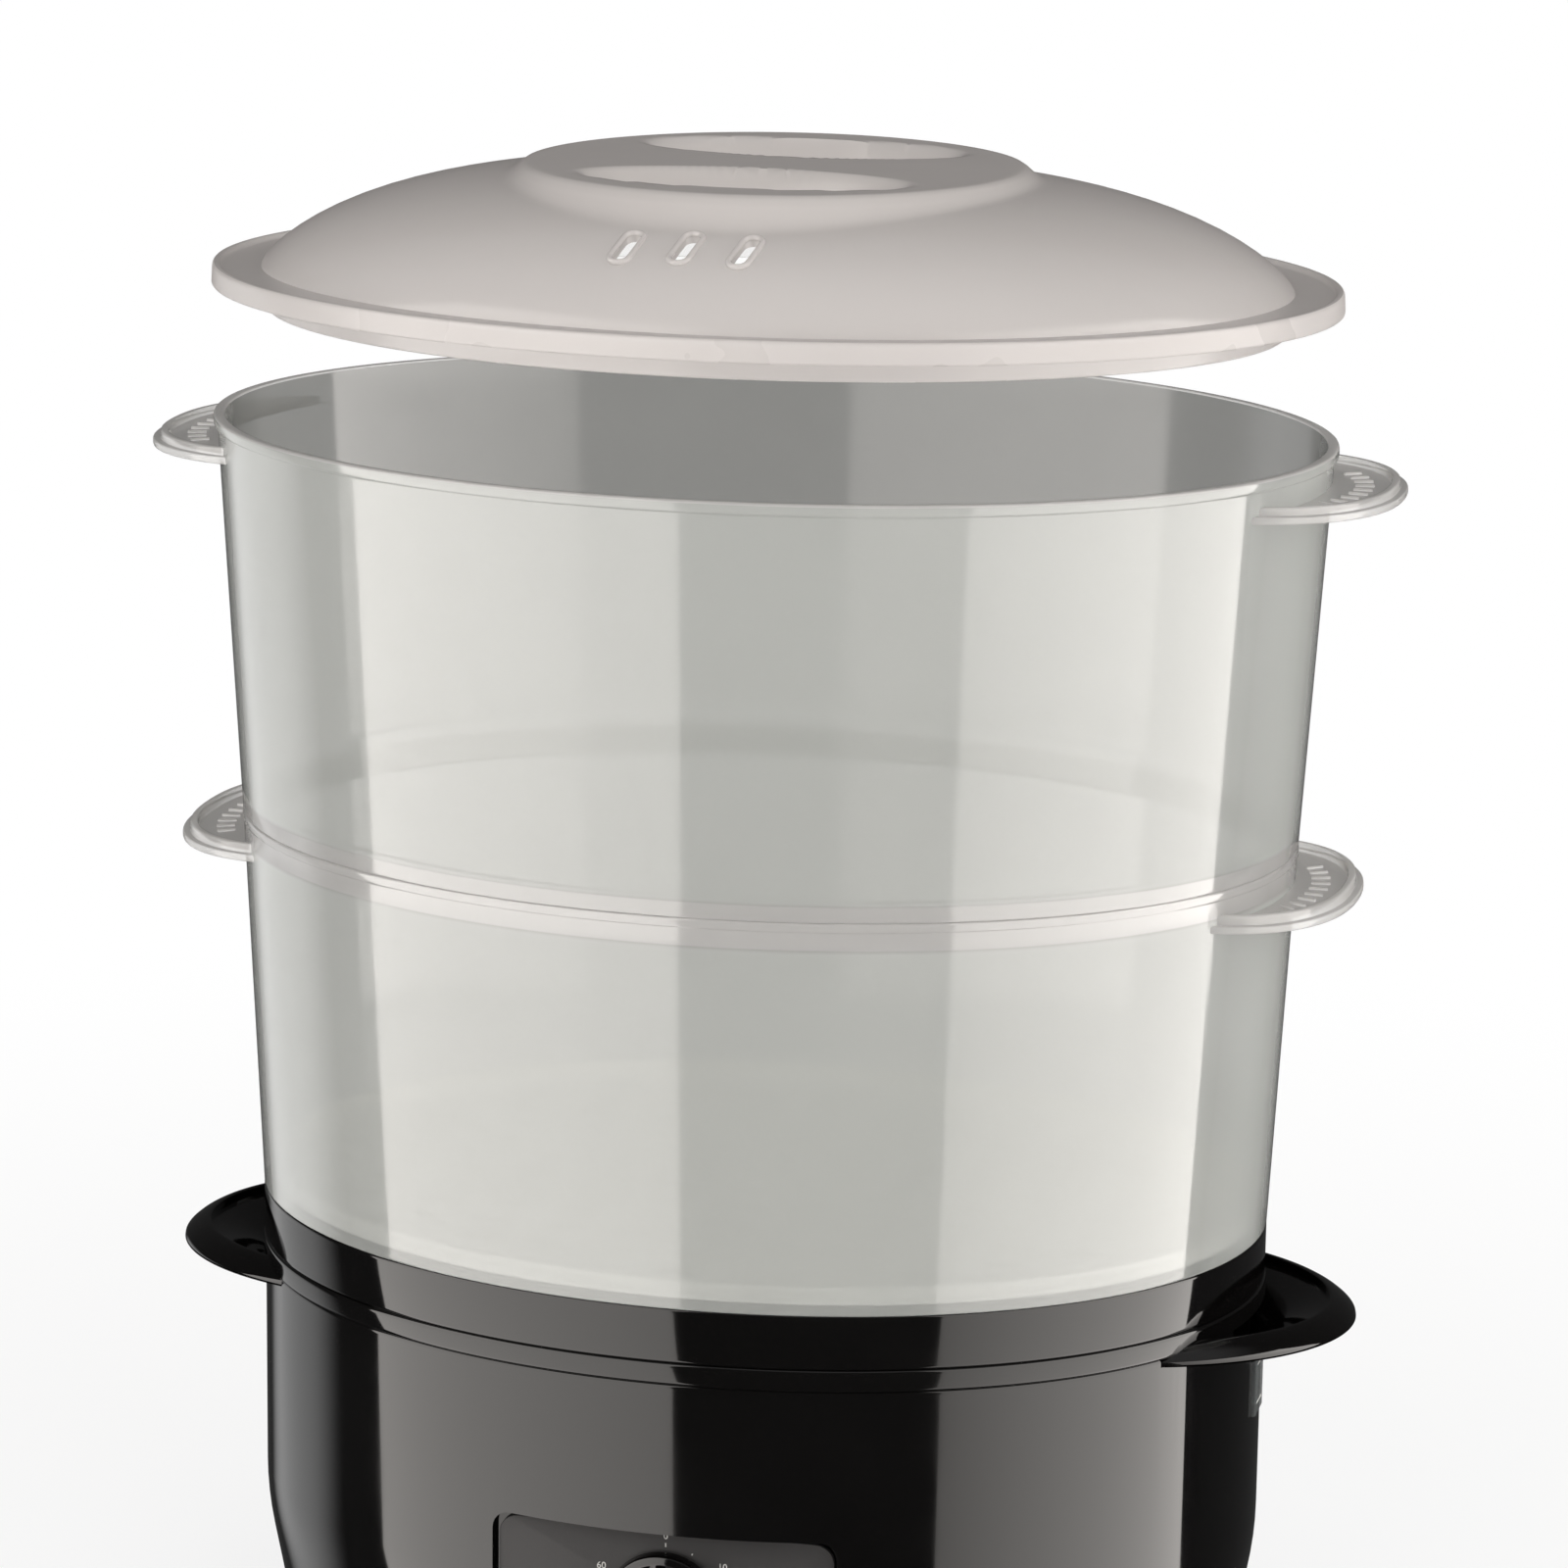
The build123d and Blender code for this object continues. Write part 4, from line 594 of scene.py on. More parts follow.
KEPT_NODES = {
    "milky_tray": ["lower_tray"],
    "satin_black": ["bottom_cover", "steam_ring"],
    "soft_silicone": ["element_seal"],
    "plated_steel": [
        "cover_screws", "clamp_screws", "timer_screws", "element_clamp", "thermostat_clip", "timer_case",
        "timer_back_plate", "timer_mainspring", "timer_shaft", "bell_hammer", "timer_bell", "heating_plate",
    ],
    "cast_alloy": ["heating_tube", "thermostat"],
    "turned_brass": ["timer_main_wheel", "escape_pinion", "element_terminals", "earth_tag"],
    "grey_moulding": ["timer_switch", "terminal_block", "thermal_fuse"],
    "clear_gauge": ["pilot_lamp"],
    "live_skin": ["live_wire", "switch_wire"],
    "neutral_skin": ["neutral_wire"],
    "earth_skin": ["earth_wire"],
}


def surface(name):
    """The material of a finish, made on first use."""
    return bpy.data.materials.get(name) or painted(bpy.data.materials.new(name), **FINISHES[name])


def paint_kept_nodes():
    """Gives every node that stays from the frame its finish."""
    for finish_name, nodes in KEPT_NODES.items():
        for node in nodes:
            paint(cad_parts[node], finish_name)


# ---- bowls ----
Shell = namedtuple("Shell", "half_seat half_top bead_out bead_height z_seat z_top ledge")
Ear = namedtuple("Ear", "reach half_x z_lip height")
EAR_POWER = 2.3
EAR_HALF_Y = 47.2
EAR_FLANGE = 2.0                          # thickness of the flange
EAR_STEP = 2.0                            # how far the lip stands back from the flange's edge
EAR_DISH = 3.0                            # rounded part of the dish inside the lip
EAR_BITE = 1.1                            # how deep an ear goes into the bowl's wall
GRIP_COUNT, GRIP_TURN, GRIP_INSET, GRIP_HALF_Y = 9, 9, 11.0, 39.0
# slots of the bowls' finishes; the inside and the ears' dishes carry painted shade
EDGE_SLOT, SHADED_INSIDE_SLOT, SHADED_DISH_SLOT = 1, 2, 3


def bowl_shell(name, shell):
    """Wall, rim bead and nested foot of a bowl."""
    wall, soft = mm("wall"), mm("edge_round")
    half_seat, half_top, bead_out, bead_height, z_seat, z_top, ledge = shell
    foot, half_bead = wall + mm("nest_gap"), half_top + bead_out
    z_foot, z_ledge, z_bead = z_seat - mm("foot_depth"), z_seat + ledge, z_top - bead_height
    slope = (half_top - half_seat) / (z_top - z_seat)
    return hoop(name, rounded([
        (oval(half_seat, foot, z_foot), soft),
        (oval(half_seat, foot, z_seat), 0.3),
        (oval(half_seat, 0, z_seat), soft),
        (oval(half_top - slope * bead_height, 0, z_bead), 0.5),
        (oval(half_bead, 0, z_bead), 0.8),
        (oval(half_bead, 0, z_top), 1.0),
        (oval(half_top, wall, z_top), 0.8),
        (oval(half_seat + slope * ledge, wall, z_ledge), soft),
        (oval(half_seat, foot + wall, z_ledge), soft),
        (oval(half_seat, foot + wall, z_foot), soft),
    ]))


def ear_plate(ear):
    """Carrying ear at the +X end: a flange with a smaller stepped lip and a dished top."""
    z_low = ear.z_lip - ear.height
    z_flange = z_low + EAR_FLANGE
    dish = EAR_STEP + mm("ear_lip")
    profile = (
        (1.0, z_low, 0.0),
        (0.0, z_low, 0.9),
        (0.0, z_flange, 0.7),
        (EAR_STEP, z_flange, 0.3),
        (EAR_STEP, ear.z_lip, 0.9),
        (dish, ear.z_lip, 0.7),
        (dish, z_flange, mm("edge_round")),
        (dish + EAR_DISH, z_flange, 0.0),
    )
    corners = [((ear.half_x - inset, EAR_HALF_Y - inset, z), rounding) for inset, z, rounding in profile]
    plate = spindle("ear", rounded(corners, closed=False), 128)
    for vertex in plate.data.vertices:
        across, along = vertex.co.x, vertex.co.y
        angle = atan2(along / EAR_HALF_Y, across / ear.half_x)
        radius = (abs(cos(angle)) ** EAR_POWER + abs(sin(angle)) ** EAR_POWER) ** (-1 / EAR_POWER)
        vertex.co.x, vertex.co.y = across * radius, along * radius
    return place(plate, (ear.reach - ear.half_x, 0, 0))


def grip_marks(ear, z_dish):
    """Row of small raised bars in the dish of an ear, along its outer edge."""
    marks = []
    for index in range(GRIP_COUNT):
        turn = (index - GRIP_COUNT // 2) * GRIP_TURN
        x = ear.reach - ear.half_x + (ear.half_x - GRIP_INSET) * cos(radians(turn))
        bar = slab("mark", (-2.6, 2.6), (-0.55, 0.55), (-0.4, 0.7), rounding=0.3)
        marks.append(place(bar, (x, GRIP_HALF_Y * sin(radians(turn)), z_dish), (0, 0, turn * 1.1)))
    return joined(*marks)


def dress_bowl(bowl, shell, z_dish, rim):
    """Gives the thick edges, the inside and the ears' dishes of a bowl their own finishes; the inside and the dishes
    are darker, as painted shade.
    """
    for finish_name in ("milky_bowl_edge", "milky_bowl_inside", "milky_ear_dish"):
        bowl.data.materials.append(surface(finish_name))
    aspect, z_foot = sizes().aspect, shell.z_seat - mm("foot_depth")
    for face in bowl.data.polygons:
        x, y, z = face.center / MM
        share = max(0.0, min(1.0, (z - shell.z_seat) / (shell.z_top - shell.z_seat)))
        half = shell.half_seat + (shell.half_top - shell.half_seat) * share
        beyond = (hypot(x / half, y / (half * aspect)) - 1) * half
        inwards = face.normal.x * x + face.normal.y * y < 0
        if beyond > 0.3 and z < shell.z_top - 3 or z > shell.z_top - rim:
            face.material_index = EDGE_SLOT
        # painted shade: inward faces of the wall take the darker inside finish
        if inwards and beyond < -1 and z_foot < z < shell.z_top - 0.6:
            face.material_index = SHADED_INSIDE_SLOT
        # painted shade: the upward faces of an ear's dish take a darker copy of the edge finish
        if beyond > 1.5 and face.normal.z > 0.8 and abs(z - z_dish) < 0.3:
            face.material_index = SHADED_DISH_SLOT


def make_bowl(node, body, shell, ear, rim):
    """A bowl with an ear at both ends; its rim has the finish of thick edges as deep as rim says."""
    bowl = bowl_shell(node + "_shell", shell)
    z_low = ear.z_lip - ear.height
    z_dish = z_low + EAR_FLANGE
    share = (z_low - shell.z_seat) / (shell.z_top - shell.z_seat)
    half_here = shell.half_seat + (shell.half_top - shell.half_seat) * share
    right = carve(ear_plate(ear), grip_marks(ear, z_dish), "UNION")
    limits = (shell.z_seat, shell.z_top + 5)
    carve(right, spindle("inside", [oval(half_here, EAR_BITE, z) for z in limits]))
    carve_both(bowl, right, "UNION")
    finish(bowl, body, "milky_bowl", [node])
    dress_bowl(bowl, shell, z_dish, rim)


def make_upper_bowl():
    shell = Shell(BAND_HALF, RIM_WALL_HALF, bead_out=0.9, bead_height=3.0, z_seat=Z_UPPER, z_top=Z_RIM, ledge=4.7)
    ear = Ear(high("upper_bowl").x, half_x=43.8, z_lip=Z_RIM - 7.2, height=4.1)
    make_bowl("upper_bowl", "upper_tier", shell, ear, 0.7)


def make_lower_bowl():
    shell = Shell(COLLAR_HALF, BAND_HALF, bead_out=0.15, bead_height=2.4, z_seat=Z_LOWER, z_top=Z_UPPER, ledge=2.4)
    ear = Ear(high("lower_bowl").x, half_x=35.8, z_lip=Z_UPPER - 6.4, height=4.5)
    make_bowl("lower_bowl", "lower_tier", shell, ear, 0.0)


# ---- lid ----
DOME_POWER, DOME_SHOULDER = 3.4, 0.75
CROWN_FALL = 12.0                         # height of the crown's sloping side
CROWN_END = 78.0                          # radius of the last round ring; the oval rings follow
CROWN_RADII = [0.8, *(2.2 * step for step in range(1, 30)), 65.2, 66.4, 67.6, 69, 70.5, 72, 73.5, 75, 76.5, CROWN_END]
DOME_SHARES = (
    0.06, 0.13, 0.21, 0.30, 0.40, 0.50, 0.60, 0.70, 0.78, 0.85, 0.90, 0.94, 0.965, 0.98, 0.99, 0.996, 1.0,
)
POCKET_X, POCKET_Y, POCKET_PLACE, POCKET_DEPTH = 44.0, 19.0, 33.0, 12.0
VENT_X, VENT_ABOVE_FOOT = -2.3, 21.4
VENT_SLOPE, VENT_SLANT, VENT_STRETCH = 25.0, -10.0, 4.4
# the inner skirt's slot holds a lighter copy of the lid finish, as painted light
LIT_SKIRT_SLOT = 2


def soft_max(a, b, width):
    """The larger of two heights, with the crease between them filled over width."""
    share = max(0.0, min(1.0, 0.5 + (a - b) / (2 * width)))
    return a * share + b * (1 - share) + width * share * (1 - share)


def soft_min(a, b, width):
    return -soft_max(-a, -b, width)


def dome_foot(inset=0.0):
    """Half-axes of the dome's foot."""
    return LID_HALF - DOME_SETBACK - inset, LID_HALF * sizes().aspect - DOME_SETBACK - inset


def lid_height(x, y, inset=0.0):
    """Height of the lid's dome, crown and grip pockets above the point (x, y)."""
    half_x, half_y = dome_foot(inset)
    share = min(1.0, hypot(x / half_x, y / half_y))
    z = Z_PLATE - inset + mm("dome_height") * (1 - share ** DOME_POWER) ** DOME_SHOULDER
    foot, top = mm("crown_foot") - inset, mm("crown_top") - inset
    radius = hypot(x, y)
    if radius < foot + 8:
        z_top = Z_CROWN - inset
        wall = z_top - (radius - top) * CROWN_FALL / (foot - top)
        crown = soft_min(z_top, wall, 2.0)
        for side in (-1, 1):
            reach = POCKET_Y + inset
            inside = 1 - hypot(x / (POCKET_X + inset), (y - side * POCKET_PLACE) / reach)
            depth = inside * reach * 2.0
            crown = soft_min(crown, z_top - soft_min(depth, POCKET_DEPTH, 2.5), 1.2)
        z = soft_max(z, crown, 3.0) if radius > top + 1 else crown
    return z


def lid_rings(inset):
    """Rings from the crown's middle out to the dome's foot; the heights are set afterwards."""
    half_x, half_y = dome_foot(inset)
    rings = [(radius, radius, 0.0) for radius in CROWN_RADII]
    for share in DOME_SHARES:
        rings.append((CROWN_END + (half_x - CROWN_END) * share, CROWN_END + (half_y - CROWN_END) * share, 0.0))
    return rings


def lid_shell():
    """Dome, flange and inner skirt of the lid as one closed skin."""
    wall = mm("wall")
    outside, inside = lid_rings(0.0), lid_rings(wall)
    skirt_half, z_under = LID_HALF - SKIRT_SETBACK, Z_PLATE - wall
    flange = rounded([
        (oval(LID_HALF, 12.6, Z_PLATE), 0.0),
        (oval(LID_HALF, wall + 0.6, Z_PLATE), 1.2),
        (oval(LID_HALF, wall, Z_LID_TOP), 0.8),
        (oval(LID_HALF, 0.3, Z_LID_TOP), 1.6),
        (oval(LID_HALF, 0, Z_LID), 0.8),
        (oval(LID_HALF, wall, Z_LID), 0.8),
        (oval(LID_HALF, wall, z_under), 1.5),
        (oval(skirt_half, 0, z_under), 1.5),
        (oval(skirt_half, 0, Z_SKIRT), 0.8),
        (oval(skirt_half, wall, Z_SKIRT), 0.8),
        (oval(skirt_half, wall, z_under - 0.8), 0.0),
    ], closed=False)
    lid = ring_mesh("lid_shell", outside + flange + inside[::-1])
    bpy.ops.object.mode_set(mode="OBJECT")
    first, last = len(outside) * SEGMENTS, (len(outside) + len(flange)) * SEGMENTS
    for vertex in lid.data.vertices:
        if not first <= vertex.index < last:
            inset = 0.0 if vertex.index < first else wall
            vertex.co.z = lid_height(vertex.co.x / MM, vertex.co.y / MM, inset) * MM
    bpy.ops.object.mode_set(mode="EDIT")
    select_open_edges()
    bpy.ops.mesh.edge_face_add()
    face_outwards()
    return lid


def lay_vent(piece, centre):
    """Pulls the halves of a round piece apart to a slot, slants it and lays it on the front slope of the dome."""
    for vertex in piece.data.vertices:
        vertex.co.y += VENT_STRETCH * MM * (1 if vertex.co.y > 0 else -1)
    only(piece)
    turn = Matrix.Rotation(radians(VENT_SLOPE), 4, "X") @ Matrix.Rotation(radians(VENT_SLANT), 4, "Z")
    piece.matrix_world = Matrix.Translation(Vector(centre) * MM) @ turn
    bpy.ops.object.transform_apply()
    return piece


def vent_rim(centre):
    """Rounded rim round a steam vent."""
    clear_selection()
    bpy.ops.mesh.primitive_torus_add(
        major_segments=48, minor_segments=16, major_radius=2.6 * MM, minor_radius=0.8 * MM
    )
    return lay_vent(bpy.context.object, centre)


def vent_slot(centre):
    """Tool that cuts a steam vent."""
    return lay_vent(spindle("vent", [(2.55, 2.55, -9.0), (2.55, 2.55, 9.0)], ROUND), centre)


def make_lid():
    lid = lid_shell()
    slots, rims = [], []
    for index in (-1, 0, 1):
        x, y = VENT_X + index * mm("vent_pitch"), VENT_ABOVE_FOOT - dome_foot()[1]
        centre = (x, y, lid_height(x, y))
        slots.append(vent_slot(centre))
        rims.append(vent_rim(centre))
    carve(lid, joined(*slots))
    carve(lid, joined(*rims), "UNION")
    finish(lid, "cover", "frosted_cover", ["lid"], angle=50)
    for finish_name in ("frosted_cover_edge", "frosted_cover_skirt"):
        lid.data.materials.append(surface(finish_name))
    half_y, z_under = LID_HALF * sizes().aspect, Z_PLATE - mm("wall")
    for face in lid.data.polygons:
        x, y, z = face.center / MM
        outermost = hypot(x / LID_HALF, y / half_y) > 0.975
        inwards = face.normal.x * x + face.normal.y * y < 0
        # painted light: the flange's outer side and the faces turned down take the lighter edge copy of the lid
        # colour
        if outermost and not inwards and abs(face.normal.z) < 0.75 or face.normal.z < -0.2:
            face.material_index = EDGE_SLOT
        # painted light: the inner skirt takes a lighter, more see-through copy, so the vents look bright
        if inwards and z < z_under and abs(face.normal.z) < 0.5:
            face.material_index = LIT_SKIRT_SLOT


# ---- fill scoops ----
SCOOP_REACH = high("base_housing").x
SCOOP_HALF_X, SCOOP_HALF_Y = 70.3, 55.6
SCOOP_WALL, FLARE_WALL = 2.2, 1.8
FLARE = ((0.0, 0.0), (1.2, 3.6), (2.8, 9.0), (5.0, 14.5), (8.5, 20.5), (13.5, 27.5))
FLARE_STEPS = 5
SCOOP_BEVEL = ((1.4, 0.5), (3.1, 2.5), (4.3, 4.5), (5.0, 6.4))
SCOOP_SEGMENTS = 192


def smooth_flare(inset):
    """Flare of the scoop's underside as (drop, draw-in) pairs along a smooth curve, drawn in by inset."""
    points = [Vector(point) for point in FLARE]
    points = [points[0] * 2 - points[1]] + points + [points[-1] * 2 - points[-2]]
    curve = []
    for index in range(1, len(points) - 2):
        a, b, c, d = points[index - 1:index + 3]
        for step in range(FLARE_STEPS):
            t = step / FLARE_STEPS
            second, third = 2 * a - 5 * b + 4 * c - d, 3 * b - a - 3 * c + d
            curve.append(0.5 * (2 * b + (c - a) * t + second * t ** 2 + third * t ** 3))
    curve.append(points[-2])
    return [(point.x, point.y + inset) for point in curve]


def scoop_ring(draw, z):
    return (SCOOP_HALF_X - draw, SCOOP_HALF_Y - draw, z)


def at_scoop(piece):
    """Moves a piece to the scoop at the +X end."""
    return place(piece, (SCOOP_REACH - SCOOP_HALF_X, 0, 0))


def cut_off(scoop, half_cut):
    """Takes away what lies inside the oval of half length half_cut."""
    return carve(scoop, spindle("cutter", [oval(half_cut, 0, z) for z in (Z_BODY, Z_LOWER + 5)]))


def scoop_bowl():
    """Bevelled lip and hollow of the fill scoop at the +X end, cut off at the ring."""
    z_foot, lift, soft = Z_SCOOP_FOOT, 3.8, mm("scoop_round")
    hollow = [scoop_ring(draw, z_foot + lift - drop) for drop, draw in smooth_flare(lift)[FLARE_STEPS:]]
    edge = smooth_flare(lift)[FLARE_STEPS][1]
    lip = rounded([
        (scoop_ring(0.5, z_foot), 0.0),
        (scoop_ring(0.0, z_foot + 0.5), 0.4),
        *[(scoop_ring(draw, z_foot + rise), soft) for rise, draw in SCOOP_BEVEL],
        (scoop_ring(edge, Z_SCOOP_LIP), 0.6),
        (hollow[0], 0.0),
    ], closed=False, steps=6)
    back = [
        scoop_ring(draw, min(z_foot, z_foot + SCOOP_WALL - drop))
        for drop, draw in reversed(smooth_flare(SCOOP_WALL))
    ]
    return cut_off(at_scoop(hoop("scoop", lip + hollow[1:] + back, SCOOP_SEGMENTS)), RING_HALF - 1.2)


def scoop_mouth():
    """Tool that opens the casing at the +X end for the fill scoop."""
    z_foot = Z_SCOOP_FOOT
    rings = [
        scoop_ring(draw, z_foot + FLARE_WALL - drop)
        for drop, draw in reversed(smooth_flare(FLARE_WALL)) if drop > 1.9
    ]
    rings += [scoop_ring(-0.4, z_foot), scoop_ring(-0.4, Z_COLLAR)]
    return at_scoop(spindle("mouth", rings, SCOOP_SEGMENTS))


def flare_skin():
    """Curved underside of the fill scoop at the +X end, cut off at the casing."""
    z_foot = Z_SCOOP_FOOT - 0.05
    outer = [scoop_ring(draw, z_foot - drop) for drop, draw in smooth_flare(0.0)]
    inner = [
        scoop_ring(draw, min(z_foot, z_foot + FLARE_WALL - drop))
        for drop, draw in reversed(smooth_flare(FLARE_WALL))
    ]
    return cut_off(at_scoop(hoop("flare", outer + inner, SCOOP_SEGMENTS)), BODY_HALF - 1.2)


# ---- collector, housing and casing ----
PIPE_X, PIPE_Y = 46.0, 33.0               # outer half-axes of the collector's steam pipe
PLATE_HOLE = 41.0
COLUMN_X, COLUMN_Y = 98.0, 46.0
BOSS_PLACE = 52.6                         # radius on which the clamp's bosses stand


def window_tool():
    """Tool that opens a wall at the +X end for the gauge window."""
    return slab("window", (BODY_HALF - 6.5, BODY_HALF + 1), (-6.2, 6.2), (Z_TANK + 6.3, Z_TANK + 24.7))


def make_collector():
    soft, wall, spigot = mm("edge_round"), 2.2, 2.9
    z_floor = Z_COLLAR - 5.0
    z_pipe = z_floor + wall + 9.0
    shell = hoop("collector_shell", rounded([
        (oval(COLLAR_HALF, 0, Z_COLLAR), 1.0),
        (oval(COLLAR_HALF, 0, Z_LOWER), 0.9),
        (oval(COLLAR_HALF, wall, Z_LOWER), soft),
        (oval(COLLAR_HALF, wall, Z_COLLAR + wall), 1.5),
        (oval(RING_HALF, spigot + wall, Z_COLLAR + wall), soft),
        (oval(RING_HALF, spigot + wall, z_floor + wall), 1.5),
        ((PIPE_X, PIPE_Y, z_floor + wall), 2.0),
        ((PIPE_X, PIPE_Y, z_pipe), 0.8),
        ((PIPE_X - wall, PIPE_Y - wall, z_pipe), 0.8),
        ((PIPE_X - wall, PIPE_Y - wall, z_floor), soft),
        (oval(RING_HALF, spigot, z_floor), 1.2),
        (oval(RING_HALF, spigot, Z_COLLAR), 0.3),
    ]))
    finish(shell, "collector", "gloss_black", ["juice_collector"])


def make_housing():
    soft, wall = mm("edge_round"), 2.5
    z_floor = Z_TANK + wall
    shell = hoop("housing_shell", rounded([
        (oval(RING_HALF, 0, Z_RING), 1.1),
        (oval(RING_HALF, 0, Z_COLLAR), 1.2),
        (oval(RING_HALF, wall, Z_COLLAR), soft),
        (oval(RING_HALF, wall, Z_RING), soft),
        (oval(BODY_HALF, 5.3, Z_RING - 1.5), 1.0),
        (oval(BODY_HALF, 5.3, z_floor), 2.0),
        ((PLATE_HOLE, PLATE_HOLE, z_floor), 0.4),
        ((PLATE_HOLE, PLATE_HOLE, Z_TANK), 0.4),
        (oval(BODY_HALF, 2.9, Z_TANK), 2.0),
        (oval(BODY_HALF, 2.9, Z_RING), 0.0),
    ]))
    z_inlet = Z_RING - 6.5
    carve_both(shell, slab("inlet", (BODY_HALF - 10, RING_HALF + 1), (-15, 15), (z_inlet, z_inlet + 4)))
    carve(shell, window_tool())
    carve_both(shell, scoop_bowl(), "UNION")
    supports = []
    for x in (-COLUMN_X, COLUMN_X):
        for y in (-COLUMN_Y, COLUMN_Y):
            column = spindle("column", [(5.0, 5.0, low("base_housing").z), (5.2, 5.2, Z_TANK + 1)], 32)
            supports.append(place(column, (x, y, 0)))
    for angle in (90, 210, 330):
        boss = spindle("boss", [(4.0, 4.0, Z_TANK - 3.5), (4.0, 4.0, Z_TANK + 1)], 32)
        supports.append(place(boss, (BOSS_PLACE * cos(radians(angle)), BOSS_PLACE * sin(radians(angle)), 0)))
    joined(shell, *supports)
    finish(shell, "base", "gloss_black", ["base_housing"])


def make_casing():
    soft, wall, lip = mm("edge_round"), 2.5, 7.0
    shell = hoop("casing_shell", rounded([
        (oval(BODY_FOOT_HALF, 0, Z_BODY), 1.2),
        (oval(BODY_HALF, 0, Z_STRAIGHT), 9.0),
        (oval(BODY_HALF, 0, Z_RING), 1.1),
        (oval(BODY_HALF, wall, Z_RING), 0.3),
        (oval(BODY_HALF, wall, Z_STRAIGHT), 6.0),
        (oval(BODY_FOOT_HALF, wall, Z_BODY + 5.0), 0.8),
        (oval(BODY_FOOT_HALF, wall + lip, Z_BODY + 5.0), 0.4),
        (oval(BODY_FOOT_HALF, wall + lip, Z_BODY + 2.5), 0.4),
        (oval(BODY_FOOT_HALF, wall, Z_BODY + 2.5), 0.2),
        (oval(BODY_FOOT_HALF, wall, Z_BODY), 0.4),
    ]))
    y_panel, z_panel = high("control_fascia").y, middle("control_fascia").z
    pan = slab("pan", (-49.5, 49.5), (y_panel - 4.0, y_panel + wall), (z_panel - 25.5, z_panel + 25.5), corner=6.0)
    edges = ((BODY_FOOT_HALF, Z_BODY), (BODY_HALF, Z_STRAIGHT), (BODY_HALF, Z_RING))
    carve(pan, spindle("trim", [oval(half, 0.9, z) for half, z in edges]), "INTERSECT")
    carve(shell, pan, "UNION")
    carve(shell, slab("recess", (-47, 47), (-BODY_HALF, y_panel), (z_panel - 23, z_panel + 23), corner=5.0))
    for x, radius in (*FASCIA_HOLES, (-14.0, 1.55), (14.0, 1.55)):
        drill(shell, x, y_panel + wall / 2, z_panel, radius)
    carve_both(shell, scoop_mouth())
    carve_both(shell, flare_skin(), "UNION")
    carve(shell, window_tool())
    drill(shell, 0, high("cord_gland").y - 6, middle("cord_gland").z, 7.05, 12.0)
    finish(shell, "base", "gloss_black", ["base_body"])


# ---- controls and small fittings ----
FASCIA_HOLES = ((0.0, 4.5), (35.0, 3.6))  # place along X and radius: knob's arbor, lamp
TICK_START, MINOR_TICK, MAJOR_TICK = 16.8, 17.3, 17.9
NUMBER_X, NUMBER_Z = 20.2, 19.8
INK = 0.03
GRIP_RADIUS, FLUTES, FLUTE_DEPTH, FLUTE_REACH = 12.5, 18, 0.9, 2.5
FOOT_RADIUS = 9.0


def make_fascia():
    lo, hi = low("control_fascia"), high("control_fascia")
    fascia = slab("fascia_panel", (lo.x, hi.x), (lo.y, hi.y), (lo.z, hi.z), corner=5.0, rounding=0.35)
    for x, radius in FASCIA_HOLES:
        drill(fascia, x, (lo.y + hi.y) / 2, (lo.z + hi.z) / 2, radius)
    finish(fascia, "base", "satin_black", ["control_fascia"])


def make_dial_print():
    """Minute marks and plain numbers round the knob, from 0 at the top clockwise."""
    y_face, z = low("control_fascia").y - INK, middle("control_fascia").z
    pieces = []
    for minute in range(0, 61, 5):
        turn = minute * 5 - 90
        reach = MINOR_TICK if minute % 10 else MAJOR_TICK
        bar = slab("tick", (TICK_START, reach), (-INK, INK), (-0.16, 0.16))
        pieces.append(place(bar, (0, y_face, z), (0, turn, 0)))
        if minute % 10 == 0:
            clear_selection()
            bpy.ops.object.text_add(location=(0, 0, 0))
            number = bpy.context.object
            number.data.body = str(minute)
            number.data.size = 2.6 * MM
            number.data.align_x, number.data.align_y = "CENTER", "CENTER"
            number.data.extrude = INK * MM
            bpy.ops.object.convert(target="MESH")
            x, rise = NUMBER_X * cos(radians(-turn)), NUMBER_Z * sin(radians(-turn))
            pieces.append(place(number, (x, y_face, z + rise), TO_FRONT))
    printed = joined(*pieces)
    printed.name = "dial_marks"
    finish(printed, "base", "dial_print")


def make_knob():
    y_back, y_front, z = high("timer_knob").y, low("timer_knob").y, middle("timer_knob").z
    skirt, grip, depth = mm("knob_radius"), GRIP_RADIUS, y_back - y_front
    knob = spindle("knob_shell", turned([
        (3.2, 10.0, 0.0),
        (3.2, 0.0, 0.3),
        (skirt - 0.6, 0.0, 0.0),
        (skirt, 0.8, 0.5),
        (skirt - 0.5, 3.6, 1.0),
        (grip + 0.6, 4.4, 1.0),
        (grip, depth - 0.2, 1.4),
        (grip - 3.0, depth - 0.2, 0.8),
        (grip - 3.6, depth - 0.8, 0.6),
        (0.6, depth - 0.8, 0.0),
    ]), 144)
    for vertex in knob.data.vertices:
        radius = hypot(vertex.co.x, vertex.co.y) / MM
        if vertex.co.z > 4.6 * MM and grip - FLUTE_REACH < radius:
            angle = atan2(vertex.co.y, vertex.co.x)
            share = min(1.0, (radius - grip + FLUTE_REACH) / 2.0)
            flute = max(0.0, cos(FLUTES * angle)) ** 2 * FLUTE_DEPTH * share
            vertex.co.x *= 1 - flute / radius
            vertex.co.y *= 1 - flute / radius
    place(knob, (0, y_back, z), TO_FRONT)
    finish(knob, "knob", "gloss_black", ["timer_knob"])
    pointer = slab("knob_pointer", (-0.5, 0.5), (y_front - 0.02, y_front + 0.6), (z + 3.5, z + 11.6), rounding=0.15)
    finish(pointer, "knob", "dial_print")


